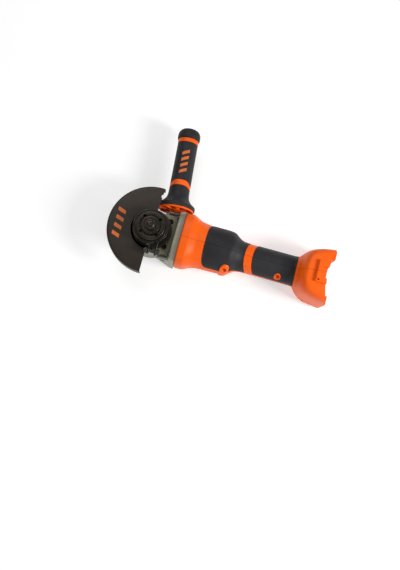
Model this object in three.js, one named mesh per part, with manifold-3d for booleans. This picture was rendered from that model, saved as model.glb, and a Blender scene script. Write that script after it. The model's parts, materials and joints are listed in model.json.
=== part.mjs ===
// A cordless angle grinder without its battery, as an assembly of separate solids.
// Millimetres, +Z up. The grinder lies on its back: the output spindle points up (+Z),
// the motor and the battery foot lie along +X, and the side handle points along +Y.
// While it is being built, the spindle axis and the motor axis cross at the origin.

import * as THREE from "three";
import { mergeVertices } from "three/addons/utils/BufferGeometryUtils.js";
import Module from "manifold-3d";

const wasm = await Module();
wasm.setup();

// ---------------------------------------------------------------- driving dimensions

const gap = 0.3; // between pieces that touch
const restHeight = -33; // the plane that the grinder lies on
const motorRoomRadius = 27; // hollow of the casing round the motor
const neckRoomRadius = 17; // hollow of the casing in the slim grip

const guardRadius = 61; // guard for 115 mm wheels
const guardPlate = { low: 20.4, high: 22 };
const guardSkirtLow = 5;
const guardWall = 1.6;
const guardFrom = 86; // degrees round the spindle, from +X towards +Y
const guardTo = 270;
const collarRadius = 22.2; // outside of the guard's collar
const collarHigh = 39;

const neckRadius = 20; // the bearing cover's neck, inside the guard's collar
const neckHigh = 31;
const coverPlate = { low: 12.3, high: 17 };

const spindleRadius = 7; // M14 thread
const spindleHigh = 54.8;
const flangeSeat = 33.6; // shoulder that the inner flange sits on
const flangeRadius = 18.8;
const nutRadius = 20;
const nutDisc = { low: 39.2, high: 44 };
const nutBoss = { radius: 12.5, high: 47.5 };
const pinCircle = 15; // radius of the spanner holes, 30 mm across

const ringTeeth = 32;
const pinionTeeth = 10;
const ringPitchRadius = 22;

const flangeFront = 33; // gear housing's rear flange, along X
const flangeBack = 42;
const casingFront = flangeBack + gap;
const wallArc = { radius: 92.5, x: 337.5, low: 20 }; // hollow curve that ends the foot's walls
const terminalEnd = 246;
const railEnd = 257; // end of the battery rails
const railLow = -26; // lower end of the rails, where the battery slides in
const lipDepth = 4; // thickness of the rails' lips along X
const footWall = 3.5; // thickness of the foot's wall round the battery's rails
const channelFloor = 243; // face of the bulkhead behind the battery
const channelHigh = 39; // inner face of the wall above the battery's rails
const lug = { from: 230, half: 15, high: 48.5 }; // raised block on top of the foot
const channelHalf = 33.6; // half the width between the rails' walls
const railMouthHalf = 26; // half the width between the rails' lips

const handleTilt = 5; // degrees, towards the guard
const handleBase = { x: 24.9, y: 34.6, z: 2 };
const handleLength = 125.7;
const handleFlange = 26.4;
const handleGrip = 14.4;
const spareSeatRadius = 9.5; // the other side's seat for the handle

const shaftRadius = 4;
const statorRadius = 24.5;
const lockRadius = 13.6; // distance of the spindle lock pin from the spindle axis

// Half width, height above the motor axis, depth below it and squareness of the body,
// at places along X. A squareness of 2 is an ellipse.
const bodySections = [
  [33, 35.4, 28.2, 30.2, 3],
  [35.5, 37, 29, 31, 3],
  [42, 38.2, 29.2, 31, 3],
  [42.2, 38.3, 34, 31, 3],
  [53, 38.5, 34.5, 31, 3],
  [64.5, 33.6, 30.9, 31.3, 2.5],
  [66, 33.2, 30.9, 31.3, 2.4],
  [80, 31.8, 31, 31.5, 2],
  [106, 31.6, 31, 31.4, 2],
  [112, 31, 30.8, 31, 2],
  [116, 29.6, 29.7, 29.8, 2],
  [119, 27.6, 27.9, 27.9, 2],
  [122, 25.3, 25.7, 25.7, 2],
  [126, 22.9, 23.4, 23.4, 2],
  [130, 21.6, 22, 22, 2],
  [138, 21, 21.5, 21.5, 2],
  [205, 20.9, 22, 22, 2],
  [209, 21.4, 24.5, 22.4, 2],
  [213, 23.4, 33, 22.8, 2.3],
  [218, 27.5, 41, 24.5, 3],
  [223, 30.6, 43.2, 27.5, 3.3],
  [229, 33.2, 43.8, 31, 3.6],
  [238, 36.4, 44, 34.6, 4],
  [250, 38.6, 44, 34.6, 4],
  [260, 40, 44, 34.6, 4],
];

// Screws that close the casing: place along X, height, radius of the boss round the head,
// how far that boss stands proud of the right half, how far out its face is from the middle
// plane, and how far out the thread runs on the left.
const casingScrews = [
  { x: 111, z: 17, boss: 6.2, proud: 2, face: 27.6, thread: 19.5 },
  { x: 111, z: -17, boss: 6.2, proud: 2, face: 27.6, thread: 19.5 },
  { x: 185, z: 13, boss: 4.7, proud: 0.5, face: 16.9, thread: 8.2 },
  { x: 185, z: -13, boss: 4.7, proud: 0.5, face: 16.9, thread: 8.2 },
  { x: 229, z: -21, boss: 5.5, proud: 0.5, face: 29.5, thread: 25 },
];
const headDepth = 6.5; // from the boss's face to the top of the screw's head
const screwHead = { radius: 3.1, height: 2.1 };

// ---------------------------------------------------------------- materials

const finishes = {
  casing: { color: 0xf0641e, roughness: 0.45, metalness: 0 },
  panel: { color: 0x3c3c40, roughness: 0.8, metalness: 0 },
  cast: { color: 0x9a9c93, roughness: 0.5, metalness: 0.6 },
  cover: { color: 0x4b4640, roughness: 0.45, metalness: 0.7 },
  guard: { color: 0x453f3a, roughness: 0.45, metalness: 0.4 },
  steel: { color: 0xa8aaad, roughness: 0.3, metalness: 1 },
  blackSteel: { color: 0x3b3a36, roughness: 0.35, metalness: 0.9 },
  copper: { color: 0xb5673a, roughness: 0.35, metalness: 0.9 },
  board: { color: 0x1f5a35, roughness: 0.5, metalness: 0 },
  darkPlastic: { color: 0x222224, roughness: 0.5, metalness: 0 },
};

// ---------------------------------------------------------------- solids and booleans

function solid(geometry) {
  const bare = geometry.index ? geometry.clone() : mergeVertices(geometry);
  bare.deleteAttribute("normal");
  bare.deleteAttribute("uv");
  const merged = mergeVertices(bare, 1e-4);
  const corners = merged.index.array;
  const triangles = [];
  for (let i = 0; i < corners.length; i += 3) {
    const [a, b, c] = corners.slice(i, i + 3);
    if (a !== b && b !== c && c !== a) {
      triangles.push(a, b, c);
    }
  }
  const build = (list) =>
    new wasm.Manifold(
      new wasm.Mesh({
        numProp: 3,
        vertProperties: new Float32Array(merged.attributes.position.array),
        triVerts: new Uint32Array(list),
      }),
    );
  const made = build(triangles);
  return made.volume() > 0 ? made : build(triangles.reverse());
}

function geometryOf(made) {
  const mesh = made.getMesh();
  const geometry = new THREE.BufferGeometry();
  geometry.setAttribute("position", new THREE.BufferAttribute(mesh.vertProperties, 3));
  geometry.setIndex(new THREE.BufferAttribute(mesh.triVerts, 1));
  geometry.computeVertexNormals();
  return geometry;
}

function join(...solids) {
  return solids.reduce((whole, next) => whole.add(next));
}

function cut(body, ...tools) {
  return tools.reduce((left, tool) => left.subtract(tool), body);
}

function block(x, y, z) {
  const box = new THREE.BoxGeometry(x[1] - x[0], y[1] - y[0], z[1] - z[0]);
  box.translate((x[0] + x[1]) / 2, (y[0] + y[1]) / 2, (z[0] + z[1]) / 2);
  return solid(box);
}

// All the room above the plane that the grinder lies on.
function aboveRest() {
  return block([-100, 300], [-100, 200], [restHeight, 100]);
}

// Turns a shape whose axis is Y so that its axis is the named one, and moves it.
function aim(geometry, axis, at = [0, 0, 0]) {
  if (axis === "z") {
    geometry.rotateX(Math.PI / 2);
  }
  if (axis === "x") {
    geometry.rotateZ(-Math.PI / 2);
  }
  return geometry.translate(...at);
}

function rod(axis, radius, from, to, at = [0, 0, 0], sides = 20) {
  const cylinder = new THREE.CylinderGeometry(radius, radius, to - from, sides);
  cylinder.translate(0, (from + to) / 2, 0);
  return solid(aim(cylinder, axis, at));
}

// A profile of [radius, place along the axis] points, turned round the axis.
function turned(axis, profile, at = [0, 0, 0], sides = 32) {
  const points = profile.map(([r, along]) => new THREE.Vector2(r, along));
  if (profile[0][0] > 0) {
    points.push(points[0].clone());
  }
  return solid(aim(new THREE.LatheGeometry(points, sides), axis, at));
}

function tube(axis, inside, outside, from, to, at = [0, 0, 0], sides = 32) {
  const profile = [
    [inside, from],
    [outside, from],
    [outside, to],
    [inside, to],
  ];
  return turned(axis, profile, at, sides);
}

// A flat outline with a thickness along Z.
function plate(shape, from, to, curveSegments = 8) {
  const depth = to - from;
  const geometry = new THREE.ExtrudeGeometry(shape, { depth, bevelEnabled: false, curveSegments });
  return solid(geometry.translate(0, 0, from));
}

// An outline drawn in X and Z with a thickness along Y.
function sidePlate(shape, from, to, curveSegments = 8) {
  const depth = to - from;
  const geometry = new THREE.ExtrudeGeometry(shape, { depth, bevelEnabled: false, curveSegments });
  geometry.rotateX(Math.PI / 2);
  return solid(geometry.translate(0, to, 0));
}

function outline(points) {
  return new THREE.Shape(points.map(([x, y]) => new THREE.Vector2(x, y)));
}

function polar(radius, degrees) {
  const angle = THREE.MathUtils.degToRad(degrees);
  return [radius * Math.cos(angle), radius * Math.sin(angle)];
}

// ---------------------------------------------------------------- the tool and its nodes

const tool = new THREE.Group();

function add(name, made, finish, parent = tool) {
  const material = new THREE.MeshStandardMaterial(finishes[finish]);
  const mesh = new THREE.Mesh(geometryOf(made), material);
  mesh.name = name;
  parent.add(mesh);
}

// ---------------------------------------------------------------- the body's outer form

function sectionAt(x) {
  const next = Math.max(1, bodySections.findIndex(([place]) => place >= x));
  const low = bodySections[next - 1];
  const high = bodySections[next];
  const share = (x - low[0]) / (high[0] - low[0]);
  const [, width, above, below, power] = low.map((value, i) => value + share * (high[i] - value));
  return { width, above, below, power };
}

function bodyForm(inset, from, to, sides = 24) {
  const between = bodySections.map(([x]) => x).filter((x) => x > from && x < to);
  const places = [from, ...between, to];
  const profile = [
    new THREE.Vector2(0, from),
    ...places.map((x) => new THREE.Vector2(1, x)),
    new THREE.Vector2(0, to),
  ];
  const geometry = aim(new THREE.LatheGeometry(profile, sides), "x");
  const position = geometry.attributes.position;
  const round = (value, power) => Math.sign(value) * Math.abs(value) ** (2 / power);
  for (let i = 0; i < position.count; i += 1) {
    const { width, above, below, power } = sectionAt(position.getX(i));
    const y = round(position.getY(i), power);
    const z = round(position.getZ(i), power);
    position.setY(i, y * (width - inset));
    position.setZ(i, z * ((z > 0 ? above : below) - inset));
  }
  return solid(geometry);
}

// ---------------------------------------------------------------- bevel gears

// Teeth lie between two distances from the point where the shafts cross.
const ringPitchAngle = Math.atan2(ringTeeth, pinionTeeth);
const pinionPitchAngle = Math.PI / 2 - ringPitchAngle;
const coneDistance = ringPitchRadius / Math.sin(ringPitchAngle);
const coneInner = 17.5;
const toothModule = (2 * ringPitchRadius) / ringTeeth;
const addendum = (0.8 * toothModule) / coneDistance;
const dedendum = (1.25 * toothModule) / coneDistance;

// The outline holds angles from the gear's axis as lengths. Each corner is then carried
// out along its own direction, so every tooth tapers towards the crossing point.
function bevelTeeth(count, pitchAngle, boreAngle, turn) {
  const points = [];
  const tooth = [
    [-0.27, -dedendum],
    [-0.1, addendum],
    [0.1, addendum],
    [0.27, -dedendum],
  ];
  for (let i = 0; i < count; i += 1) {
    for (const [share, height] of tooth) {
      const angle = ((i + turn + share) * 2 * Math.PI) / count;
      const reach = pitchAngle + height;
      points.push([reach * Math.cos(angle), reach * Math.sin(angle)]);
    }
  }
  const shape = outline(points);
  const bore = new THREE.Path().absarc(0, 0, boreAngle, 0, 2 * Math.PI, true);
  shape.holes.push(bore);
  const options = { depth: 1, bevelEnabled: false, curveSegments: 16 };
  const geometry = new THREE.ExtrudeGeometry(shape, options);
  const position = geometry.attributes.position;
  for (let i = 0; i < position.count; i += 1) {
    const x = position.getX(i);
    const y = position.getY(i);
    const angle = Math.hypot(x, y);
    const distance = THREE.MathUtils.lerp(coneInner, coneDistance, position.getZ(i));
    const side = (distance * Math.sin(angle)) / angle;
    position.setXYZ(i, x * side, y * side, distance * Math.cos(angle));
  }
  return geometry;
}

// The ring gear's axis is Z, its teeth face down towards the pinion.
function ringGear() {
  const rootAngle = ringPitchAngle - dedendum;
  const teeth = solid(bevelTeeth(ringTeeth, ringPitchAngle, rootAngle - 0.12, 0));
  const onRoot = (distance) => [
    distance * Math.sin(rootAngle - 0.04),
    distance * Math.cos(rootAngle - 0.04),
  ];
  const [innerRadius, innerHeight] = onRoot(coneInner + 0.2);
  const [outerRadius, outerHeight] = onRoot(coneDistance - 0.2);
  const profile = [
    [6.2, innerHeight],
    [innerRadius, innerHeight],
    [outerRadius, outerHeight],
    [outerRadius, 12],
    [6.2, 12],
  ];
  const lockHoles = [0, 90, 180, 270].map((degrees) => {
    const [x, y] = polar(lockRadius, degrees);
    return rod("z", 2.5, 0, 20, [x, y, 0], 8);
  });
  const key = block([4, 7.6], [-1.3, 1.3], [0, 20]);
  return cut(join(teeth, turned("z", profile, [0, 0, 0], 32)), ...lockHoles, key);
}

// The pinion's axis is X. A gap between two of its teeth points up, where they mesh.
function pinion() {
  const geometry = bevelTeeth(pinionTeeth, pinionPitchAngle, 0.02, 0.5);
  geometry.rotateY(Math.PI / 2);
  const teeth = solid(geometry);
  return cut(join(teeth, rod("x", 4.4, 17, 24.5)), rod("x", 3, 0, 30));
}

function gears() {
  add("ring_gear", ringGear(), "steel");
  add("pinion", pinion(), "steel");
}

// ---------------------------------------------------------------- spindle group

function spindle() {
  const profile = [
    [0, -27],
    [4, -27],
    [4, -14],
    [5.9, -14],
    [5.9, 28.4],
    [9.5, 28.4],
    [9.5, flangeSeat - gap],
    [spindleRadius, flangeSeat - gap],
    [spindleRadius, spindleHigh - 3],
    [5.4, spindleHigh - 0.9],
    [3, spindleHigh],
    [1.6, spindleHigh],
    [0, spindleHigh - 1.6],
  ];
  const keyway = block([4.2, 7], [-1.3, 1.3], [5.4, 12.4]);
  return cut(turned("z", profile, [0, 0, 0], 20), keyway);
}

function innerFlange() {
  const profile = [
    [spindleRadius + gap, flangeSeat],
    [flangeRadius - 1, flangeSeat],
    [flangeRadius, flangeSeat + 1],
    [flangeRadius, nutDisc.low - gap],
    [11.1, nutDisc.low - gap],
    [11.1, nutDisc.low + 1.5],
    [spindleRadius + gap, nutDisc.low + 1.5],
  ];
  return turned("z", profile, [0, 0, 0], 28);
}

function lockNut() {
  const profile = [
    [11.5, nutDisc.low],
    [nutRadius, nutDisc.low],
    [nutRadius, nutDisc.high - 0.8],
    [nutRadius - 0.8, nutDisc.high],
    [nutBoss.radius, nutDisc.high],
    [nutBoss.radius, nutBoss.high - 0.6],
    [nutBoss.radius - 0.6, nutBoss.high],
    [spindleRadius + gap, nutBoss.high],
    [spindleRadius + gap, nutDisc.low + 2],
    [11.5, nutDisc.low + 2],
  ];
  const holes = [45, 135, 225, 315].map((degrees) => {
    const [x, y] = polar(pinCircle, degrees);
    return rod("z", 2.3, nutDisc.low - 1, nutBoss.high, [x, y, 0], 8);
  });
  return cut(turned("z", profile, [0, 0, 0], 28), ...holes);
}

function spindleGroup() {
  add("spindle", spindle(), "blackSteel");
  add("spindle_key", block([4.5, 7.3], [-1, 1], [5.7, 11.7]), "steel");
  add("gear_retaining_ring", tube("z", 6.2, 9, 12.3, 13.5, [0, 0, 0], 18), "steel");
  add("inner_flange", innerFlange(), "blackSteel");
  add("lock_nut", lockNut(), "blackSteel");
  add("spindle_bearing_lower", tube("z", 6.2, 15.8, 18.2, 28, [0, 0, 0], 20), "steel");
  add("spindle_bearing_upper", tube("z", 4.3, 6.8, -26.5, -18, [0, 0, 0], 18), "steel");
}

// ---------------------------------------------------------------- gear housing

const noseRadius = 30.5;
const screwSpots = [
  [23, 18],
  [23, -18],
  [-17, 19],
  [-17, -19],
];
const flangeScrews = [
  [27, 17],
  [-27, 17],
  [27, -17],
  [-27, -17],
];

function housingOutline() {
  const shape = new THREE.Shape();
  shape.absarc(0, 0, noseRadius, THREE.MathUtils.degToRad(65), THREE.MathUtils.degToRad(295));
  shape.quadraticCurveTo(26, -32.2, flangeFront + 4, -36.6);
  shape.lineTo(flangeBack + 5, -36.6);
  shape.lineTo(flangeBack + 5, 36.6);
  shape.lineTo(flangeFront + 4, 36.6);
  shape.quadraticCurveTo(26, 32.2, ...polar(noseRadius, 65));
  return shape;
}

function handleAxisRod(radius, from, to, side) {
  const geometry = new THREE.CylinderGeometry(radius, radius, to - from, 14);
  geometry.translate(0, (from + to) / 2, 0);
  geometry.rotateZ(THREE.MathUtils.degToRad(handleTilt));
  geometry.translate(handleBase.x, handleBase.y, handleBase.z);
  geometry.scale(1, side, 1);
  if (side < 0) {
    geometry.index.array.reverse();
  }
  return solid(geometry);
}

function gearHousing() {
  const edge = 5;
  const castingTop = coverPlate.low - gap;
  const points = housingOutline().getPoints(10);
  const apart = (point, i) => point.distanceTo(points[(i + 1) % points.length]) > 0.01;
  const casting = new THREE.ExtrudeGeometry(new THREE.Shape(points.filter(apart)), {
    depth: 2 * castingTop - restHeight,
    bevelThickness: edge,
    bevelSize: edge,
    bevelOffset: -edge,
    bevelSegments: 2,
  });
  casting.translate(0, 0, restHeight + edge);
  const kept = block([-60, flangeBack - 1], [-60, 60], [restHeight, castingTop]);
  const body = solid(casting).intersect(kept);
  const flange = bodyForm(0, flangeFront, flangeBack);
  const sideBosses = [handleAxisRod(12, -6.2, -gap, 1), handleAxisRod(spareSeatRadius, -6.2, -gap, -1)];
  const gearRoom = rod("z", 24.6, -17, 12, [0, 0, 0], 24);
  const pinionRoom = rod("x", 8, 10, 30, [0, 0, 0], 12);
  const bearingBore = rod("x", 9.8, 27, 37.5, [0, 0, 0], 20);
  const fanRoom = rod("x", 26.6, 37, 50, [0, 0, 0], 20);
  const upperBore = rod("z", 7.1, -28, -16, [0, 0, 0], 14);
  const pinBore = rod("z", 2.3, -40, 0, [-lockRadius, 0, 0], 8);
  const buttonPocket = rod("z", 5.8, -40, -21.5, [-lockRadius, 0, 0], 16);
  const coverHoles = screwSpots.map(([x, y]) => rod("z", 1.9, -4, 14, [x, y, 0], 6));
  const handleHoles = [1, -1].map((side) => handleAxisRod(4.3, -17, 5, side));
  const flangeHoles = flangeScrews.map(([y, z]) => rod("x", 2.2, 20, 50, [0, y, z], 6));
  const headRooms = flangeScrews.map(([y, z]) => rod("x", 4.2, 18, flangeFront + 1, [0, y, z], 10));
  const vents = [-1, 1].map((side) =>
    block([20, 40], [side * 15 - 6, side * 15 + 6], [18.5, 23]),
  );
  const topHollows = [-1, 1].map((side) =>
    block([18, 31], [side * 30 - 1.6, side * 30 + 1.6], [7, 16]),
  );
  return cut(
    join(body, flange, ...sideBosses).intersect(aboveRest()),
    gearRoom,
    pinionRoom,
    bearingBore,
    fanRoom,
    upperBore,
    pinBore,
    buttonPocket,
    ...coverHoles,
    ...handleHoles,
    ...flangeHoles,
    ...headRooms,
    ...vents,
    ...topHollows,
  );
}

function coverOutline() {
  const shape = new THREE.Shape();
  shape.absarc(0, 0, 28.5, THREE.MathUtils.degToRad(75), THREE.MathUtils.degToRad(285));
  shape.lineTo(26, -27.5);
  shape.quadraticCurveTo(32.4, -27, 32.4, -20);
  shape.lineTo(32.4, 20);
  shape.quadraticCurveTo(32.4, 27, 26, 27.5);
  shape.lineTo(...polar(28.5, 75));
  return shape;
}

function bearingCover() {
  const base = plate(coverOutline(), coverPlate.low, coverPlate.high);
  const neckProfile = [
    [16.2, coverPlate.low + 3.5],
    [neckRadius, coverPlate.low + 3.5],
    [neckRadius, neckHigh - 1],
    [neckRadius - 1, neckHigh],
    [13, neckHigh],
    [13, 28.3],
    [16.2, 28.3],
  ];
  const gearRecess = rod("z", 24.3, 8, coverPlate.low + 3.5, [0, 0, 0], 24);
  const bearingRoom = rod("z", 16.2, 8, 28.3);
  const holes = screwSpots.map(([x, y]) => rod("z", 2, 0, 20, [x, y, 0], 8));
  const headRooms = screwSpots.map(([x, y]) => rod("z", 3.9, coverPlate.high - 3, 20, [x, y, 0], 12));
  const flangeHeadRooms = [27, -27].map((y) => rod("x", 4.4, 18, 40, [0, y, 17], 12));
  const neck = turned("z", neckProfile, [0, 0, 0], 28);
  const cleared = cut(base, gearRecess, bearingRoom, ...holes, ...headRooms, ...flangeHeadRooms);
  return join(cleared, neck);
}

// A pan-head screw with a cross slot, its head at the start of the axis direction.
function screw(axis, direction, at, head, headHeight, shank, length) {
  const along = (from, to) => (direction > 0 ? [from, to] : [-to, -from]);
  const headRod = rod(axis, head, ...along(0, headHeight), at, 12);
  const shankRod = rod(axis, shank, ...along(headHeight - 0.1, length), at, 6);
  const socket = rod(axis, head * 0.45, ...along(-1, headHeight * 0.6), at, 6);
  return cut(join(headRod, shankRod), socket);
}

function coverScrews() {
  screwSpots.forEach(([x, y], i) => {
    const made = screw("z", -1, [x, y, coverPlate.high - 0.2], 3.5, 2.5, 1.6, 17);
    add(`cover_screw_${i + 1}`, made, "blackSteel");
  });
}

function flangeScrewSet() {
  flangeScrews.forEach(([y, z], i) => {
    const made = screw("x", 1, [flangeFront - 2.2, y, z], 3.7, 3, 1.9, 24);
    add(`housing_screw_${i + 1}`, made, "blackSteel");
  });
}

// ---------------------------------------------------------------- spindle lock

function lockButton() {
  const profile = [
    [0, -29.9],
    [5.4, -29.9],
    [5.4, -31.6],
    [4.7, -32.3],
    [0, -32.3],
  ];
  const cap = turned("z", profile, [-lockRadius, 0, 0], 24);
  return join(cap, rod("z", 2, -30, 5.5, [-lockRadius, 0, 0], 12));
}

function lockSpring() {
  const turns = 3;
  const low = -29;
  const high = -22.4;
  class Helix extends THREE.Curve {
    getPoint(t, target = new THREE.Vector3()) {
      const angle = 2 * Math.PI * turns * t;
      const x = -lockRadius + 3.7 * Math.cos(angle);
      return target.set(x, 3.7 * Math.sin(angle), low + (high - low) * t);
    }
  }
  const wire = new THREE.Shape().absarc(0, 0, 0.5, 0, 2 * Math.PI);
  const options = { extrudePath: new Helix(), steps: 12 * turns, curveSegments: 3 };
  return solid(new THREE.ExtrudeGeometry(wire, options));
}

function spindleLock() {
  add("lock_button", lockButton(), "darkPlastic");
  add("lock_spring", lockSpring(), "steel");
}

// ---------------------------------------------------------------- guard

function guardShell() {
  const { low, high } = guardPlate;
  const corner = 4;
  const plateProfile = [
    [27, high],
    [27, low],
    [guardRadius - corner, low],
    [guardRadius - guardWall, low - corner + 1],
    [guardRadius - guardWall, guardSkirtLow],
    [guardRadius, guardSkirtLow],
    [guardRadius, high - corner],
    [guardRadius - 0.3 * corner, high - 0.3 * corner],
    [guardRadius - corner, high],
  ];
  const collarProfile = [
    [neckRadius + 0.4, low],
    [28.5, low],
    [28.5, high],
    [collarRadius, high],
    [collarRadius, collarHigh],
    [neckRadius + 0.4, collarHigh],
  ];
  const middle = (guardFrom + guardTo) / 2;
  const wedge = outline([
    [0, 0],
    polar(90, guardFrom),
    polar(180, middle - 45),
    polar(180, middle),
    polar(180, middle + 45),
    polar(90, guardTo),
  ]);
  const dish = turned("z", plateProfile, [0, 0, 0], 44).intersect(plate(wedge, 0, 60));
  const notch = plate(
    outline([
      [1.6, 46.5],
      [12, 44.5],
      [12, 53],
      [1.8, 51.5],
    ]),
    0,
    60,
  );
  return join(cut(dish, notch), turned("z", collarProfile, [0, 0, 0], 28));
}

const band = { low: 29.4, high: 38, wall: 1.8 };
const ear = { near: 6.2, far: 13.8, thick: 2.2, y: -37 };
const bolt = { y: -31.6, z: 33.7, radius: 2.4 };

function guardBand() {
  const bore = collarRadius + gap;
  const ring = tube("z", bore, bore + band.wall, band.low, band.high);
  const earPlate = (x) => block([x, x + ear.thick], [ear.y, -17], [band.low, band.high]);
  const slit = block([ear.near, ear.far], [-40, -15], [band.low - 1, band.high + 1]);
  const inside = rod("z", bore, 0, 60, [0, 0, 0], 32);
  const ears = join(earPlate(ear.near - ear.thick), earPlate(ear.far));
  const boltHole = rod("x", bolt.radius + gap, 0, 20, [0, bolt.y, bolt.z], 12);
  return cut(join(cut(ring, slit), cut(ears, inside)), boltHole);
}

function guardGroup() {
  add("guard_shell", guardShell(), "guard");
  add("guard_band", guardBand(), "steel");
  const headHeight = 3.6;
  const headTop = ear.far + ear.thick + gap + headHeight;
  const clampScrew = screw("x", -1, [headTop, bolt.y, bolt.z], 4.2, headHeight, bolt.radius, 21);
  add("clamp_screw", clampScrew, "blackSteel");
  const nutFace = ear.near - ear.thick - gap;
  const nut = tube("x", bolt.radius + gap, 4.5, nutFace - headHeight, nutFace, [0, bolt.y, bolt.z], 6);
  add("clamp_nut", nut, "blackSteel");
}

// ---------------------------------------------------------------- casing and soft panels

const slideAngle = -25; // the thumb slide's side of the casing, degrees from +Y about X

function turnedToSlide(made) {
  return solid(geometryOf(made).rotateX(THREE.MathUtils.degToRad(slideAngle)));
}

// A panel on the right half leaves room for the boss of each screw head.
function screwClearance({ x, z, boss }, grow) {
  return rod("y", boss + gap - grow, -60, 0, [x, 0, z], 14);
}

function motorPanelRegion(grow) {
  const shape = new THREE.Shape();
  shape.moveTo(86 - grow, 11 - grow);
  shape.quadraticCurveTo(75.5 - grow, 13 - grow, 75 - grow, 50);
  shape.lineTo(122 + grow, 50);
  shape.lineTo(139.8 + grow, 3.5 - grow);
  shape.lineTo(128, 3.5 - grow);
  shape.quadraticCurveTo(121, 11 - grow, 114, 11 - grow);
  return cut(sidePlate(shape, -60, 60, 5), screwClearance(casingScrews[0], grow));
}

function gripPanelRegion(grow, side) {
  const border = side > 0 ? 5 : 8;
  const shape = new THREE.Shape();
  shape.moveTo(152.2 - grow, side * (border - grow));
  shape.lineTo(138.5 - grow, side * 36);
  shape.lineTo(203.5 + grow, side * 36);
  shape.lineTo(209.6 + grow, side * (border - 3 - grow));
  return cut(sidePlate(shape, -60, 60), screwClearance(casingScrews[side > 0 ? 2 : 3], grow));
}

const panelDepth = 1.6;
const panels = [
  { name: "motor_panel", region: motorPanelRegion },
  { name: "grip_panel", region: (grow) => gripPanelRegion(grow, 1) },
  { name: "palm_panel", region: (grow) => gripPanelRegion(grow, -1) },
];

const halves = [
  { name: "left", side: 1 },
  { name: "right", side: -1 },
];

function halfSpace(side) {
  return block([0, 300], side > 0 ? [gap / 2, 80] : [-80, -gap / 2], [-80, 80]);
}

function softPanels() {
  for (const { name, region } of panels) {
    const layer = bodyForm(-0.4, 70, 214).subtract(bodyForm(panelDepth, 60, 220));
    for (const half of halves) {
      const made = layer.intersect(region(0)).intersect(halfSpace(half.side));
      add(`${name}_${half.name}`, made, "panel");
    }
  }
}

// The room behind the lips of the rails and the mouth between them. Above the motor axis
// it keeps inside the foot's wall, below it the battery slides in.
function batteryChannel() {
  const depth = [channelFloor, railEnd + 1];
  const behindLips = [channelFloor, railEnd - lipDepth];
  const channel = block(behindLips, [-channelHalf, channelHalf], [-60, channelHigh]);
  const mouth = block(depth, [-railMouthHalf, railMouthHalf], [-60, channelHigh]);
  const below = block(depth, [-60, 60], [-60, 0]);
  return join(channel, mouth).intersect(join(bodyForm(footWall, ...depth), below));
}

function casingForm() {
  const outside = bodyForm(0, casingFront, railEnd);
  const grooves = panels.map(({ region }) =>
    region(gap).subtract(bodyForm(panelDepth + gap, 50, 230)),
  );
  const motorRoom = turned(
    "x",
    [
      [0, casingFront - 1],
      [motorRoomRadius, casingFront - 1],
      [motorRoomRadius, 112],
      [neckRoomRadius, 131],
      [neckRoomRadius, 221],
      [0, 221],
    ],
    [0, 0, 0],
    20,
  );
  const footRoom = block([218.5, channelFloor - 4], [-20, 20], [-17, 29]);
  const wallEnd = rod("z", wallArc.radius, wallArc.low, 70, [wallArc.x, 0, 0], 96);
  const railsEnd = block([channelFloor, railEnd + 1], [-60, 60], [-60, railLow]);
  const blockWindow = block([236, 250], [-13.3, 13.3], [-26.3, 30.3]);
  const rearWeb = cut(
    rod("x", 28, 103, 110, [0, 0, 0], 12),
    rod("x", 9.8, 100, 120, [0, 0, 0], 16),
  );
  const lugSide = outline([
    [lug.from, 40],
    [lug.from, 45.5],
    [lug.from + 1, lug.high - 1],
    [lug.from + 3, lug.high],
    [channelFloor + 5, lug.high],
    [channelFloor + 5, 40],
  ]);
  const lugRecess = block([239, 260], [-7.7, 7.7], [42, 60]);
  const lugBlock = cut(sidePlate(lugSide, -lug.half, lug.half), lugRecess);
  const shell = cut(
    join(cut(outside.intersect(aboveRest()), lugRecess), lugBlock),
    ...grooves,
    motorRoom,
    footRoom,
    batteryChannel(),
    wallEnd,
    railsEnd,
    blockWindow,
  );
  return join(shell, rearWeb);
}

// Right half: a boss with a pocket for the screw's head. Left half: a boss with a thread.
function screwBosses(side) {
  return casingScrews.map(({ x, z, boss, proud, thread }) =>
    side < 0
      ? rod("y", boss, -60, -gap / 2, [x, 0, z], 14).intersect(bodyForm(-proud, x - 8, x + 8))
      : rod("y", 4.2, gap / 2, thread, [x, 0, z], 8),
  );
}

function screwHoles(side) {
  const tools = casingScrews.map(({ x, z, thread }) =>
    rod("y", 1.9, side > 0 ? -1 : -60, thread - 0.5, [x, 0, z], 6),
  );
  if (side < 0) {
    const pocketDepth = headDepth + screwHead.height + gap;
    casingScrews.forEach(({ x, z, face }) => {
      tools.push(rod("y", screwHead.radius + gap, -60, -face + pocketDepth, [x, 0, z], 10));
    });
  }
  return tools;
}

function slideCuts() {
  const seat = block([70, 122], [29.7, 50], [-9.5, 9.5]);
  const slot = block([82.4, 105.6], [20, 40], [-4.5, 4.5]);
  const rodWay = block([95, 120], [8, 27.2], [-4, 4]);
  return [seat, slot, rodWay].map(turnedToSlide);
}

function casing() {
  const form = casingForm();
  const screwWays = flangeScrews.map(([y, z]) => rod("x", 2.3, 40, 56, [0, y, z], 6));
  for (const { name, side } of halves) {
    const parts = form.intersect(halfSpace(side));
    const closed = join(parts, ...screwBosses(side));
    const slideTools = side > 0 ? slideCuts() : [];
    add(`casing_${name}`, cut(closed, ...screwHoles(side), ...screwWays, ...slideTools), "casing");
  }
  const { radius, height } = screwHead;
  casingScrews.forEach(({ x, z, face, thread }, i) => {
    const top = headDepth - face;
    const made = screw("y", 1, [x, top, z], radius, height, 1.6, thread - 1.5 - top);
    add(`casing_screw_${i + 1}`, made, "blackSteel");
  });
}

// ---------------------------------------------------------------- thumb slide and switch

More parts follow.
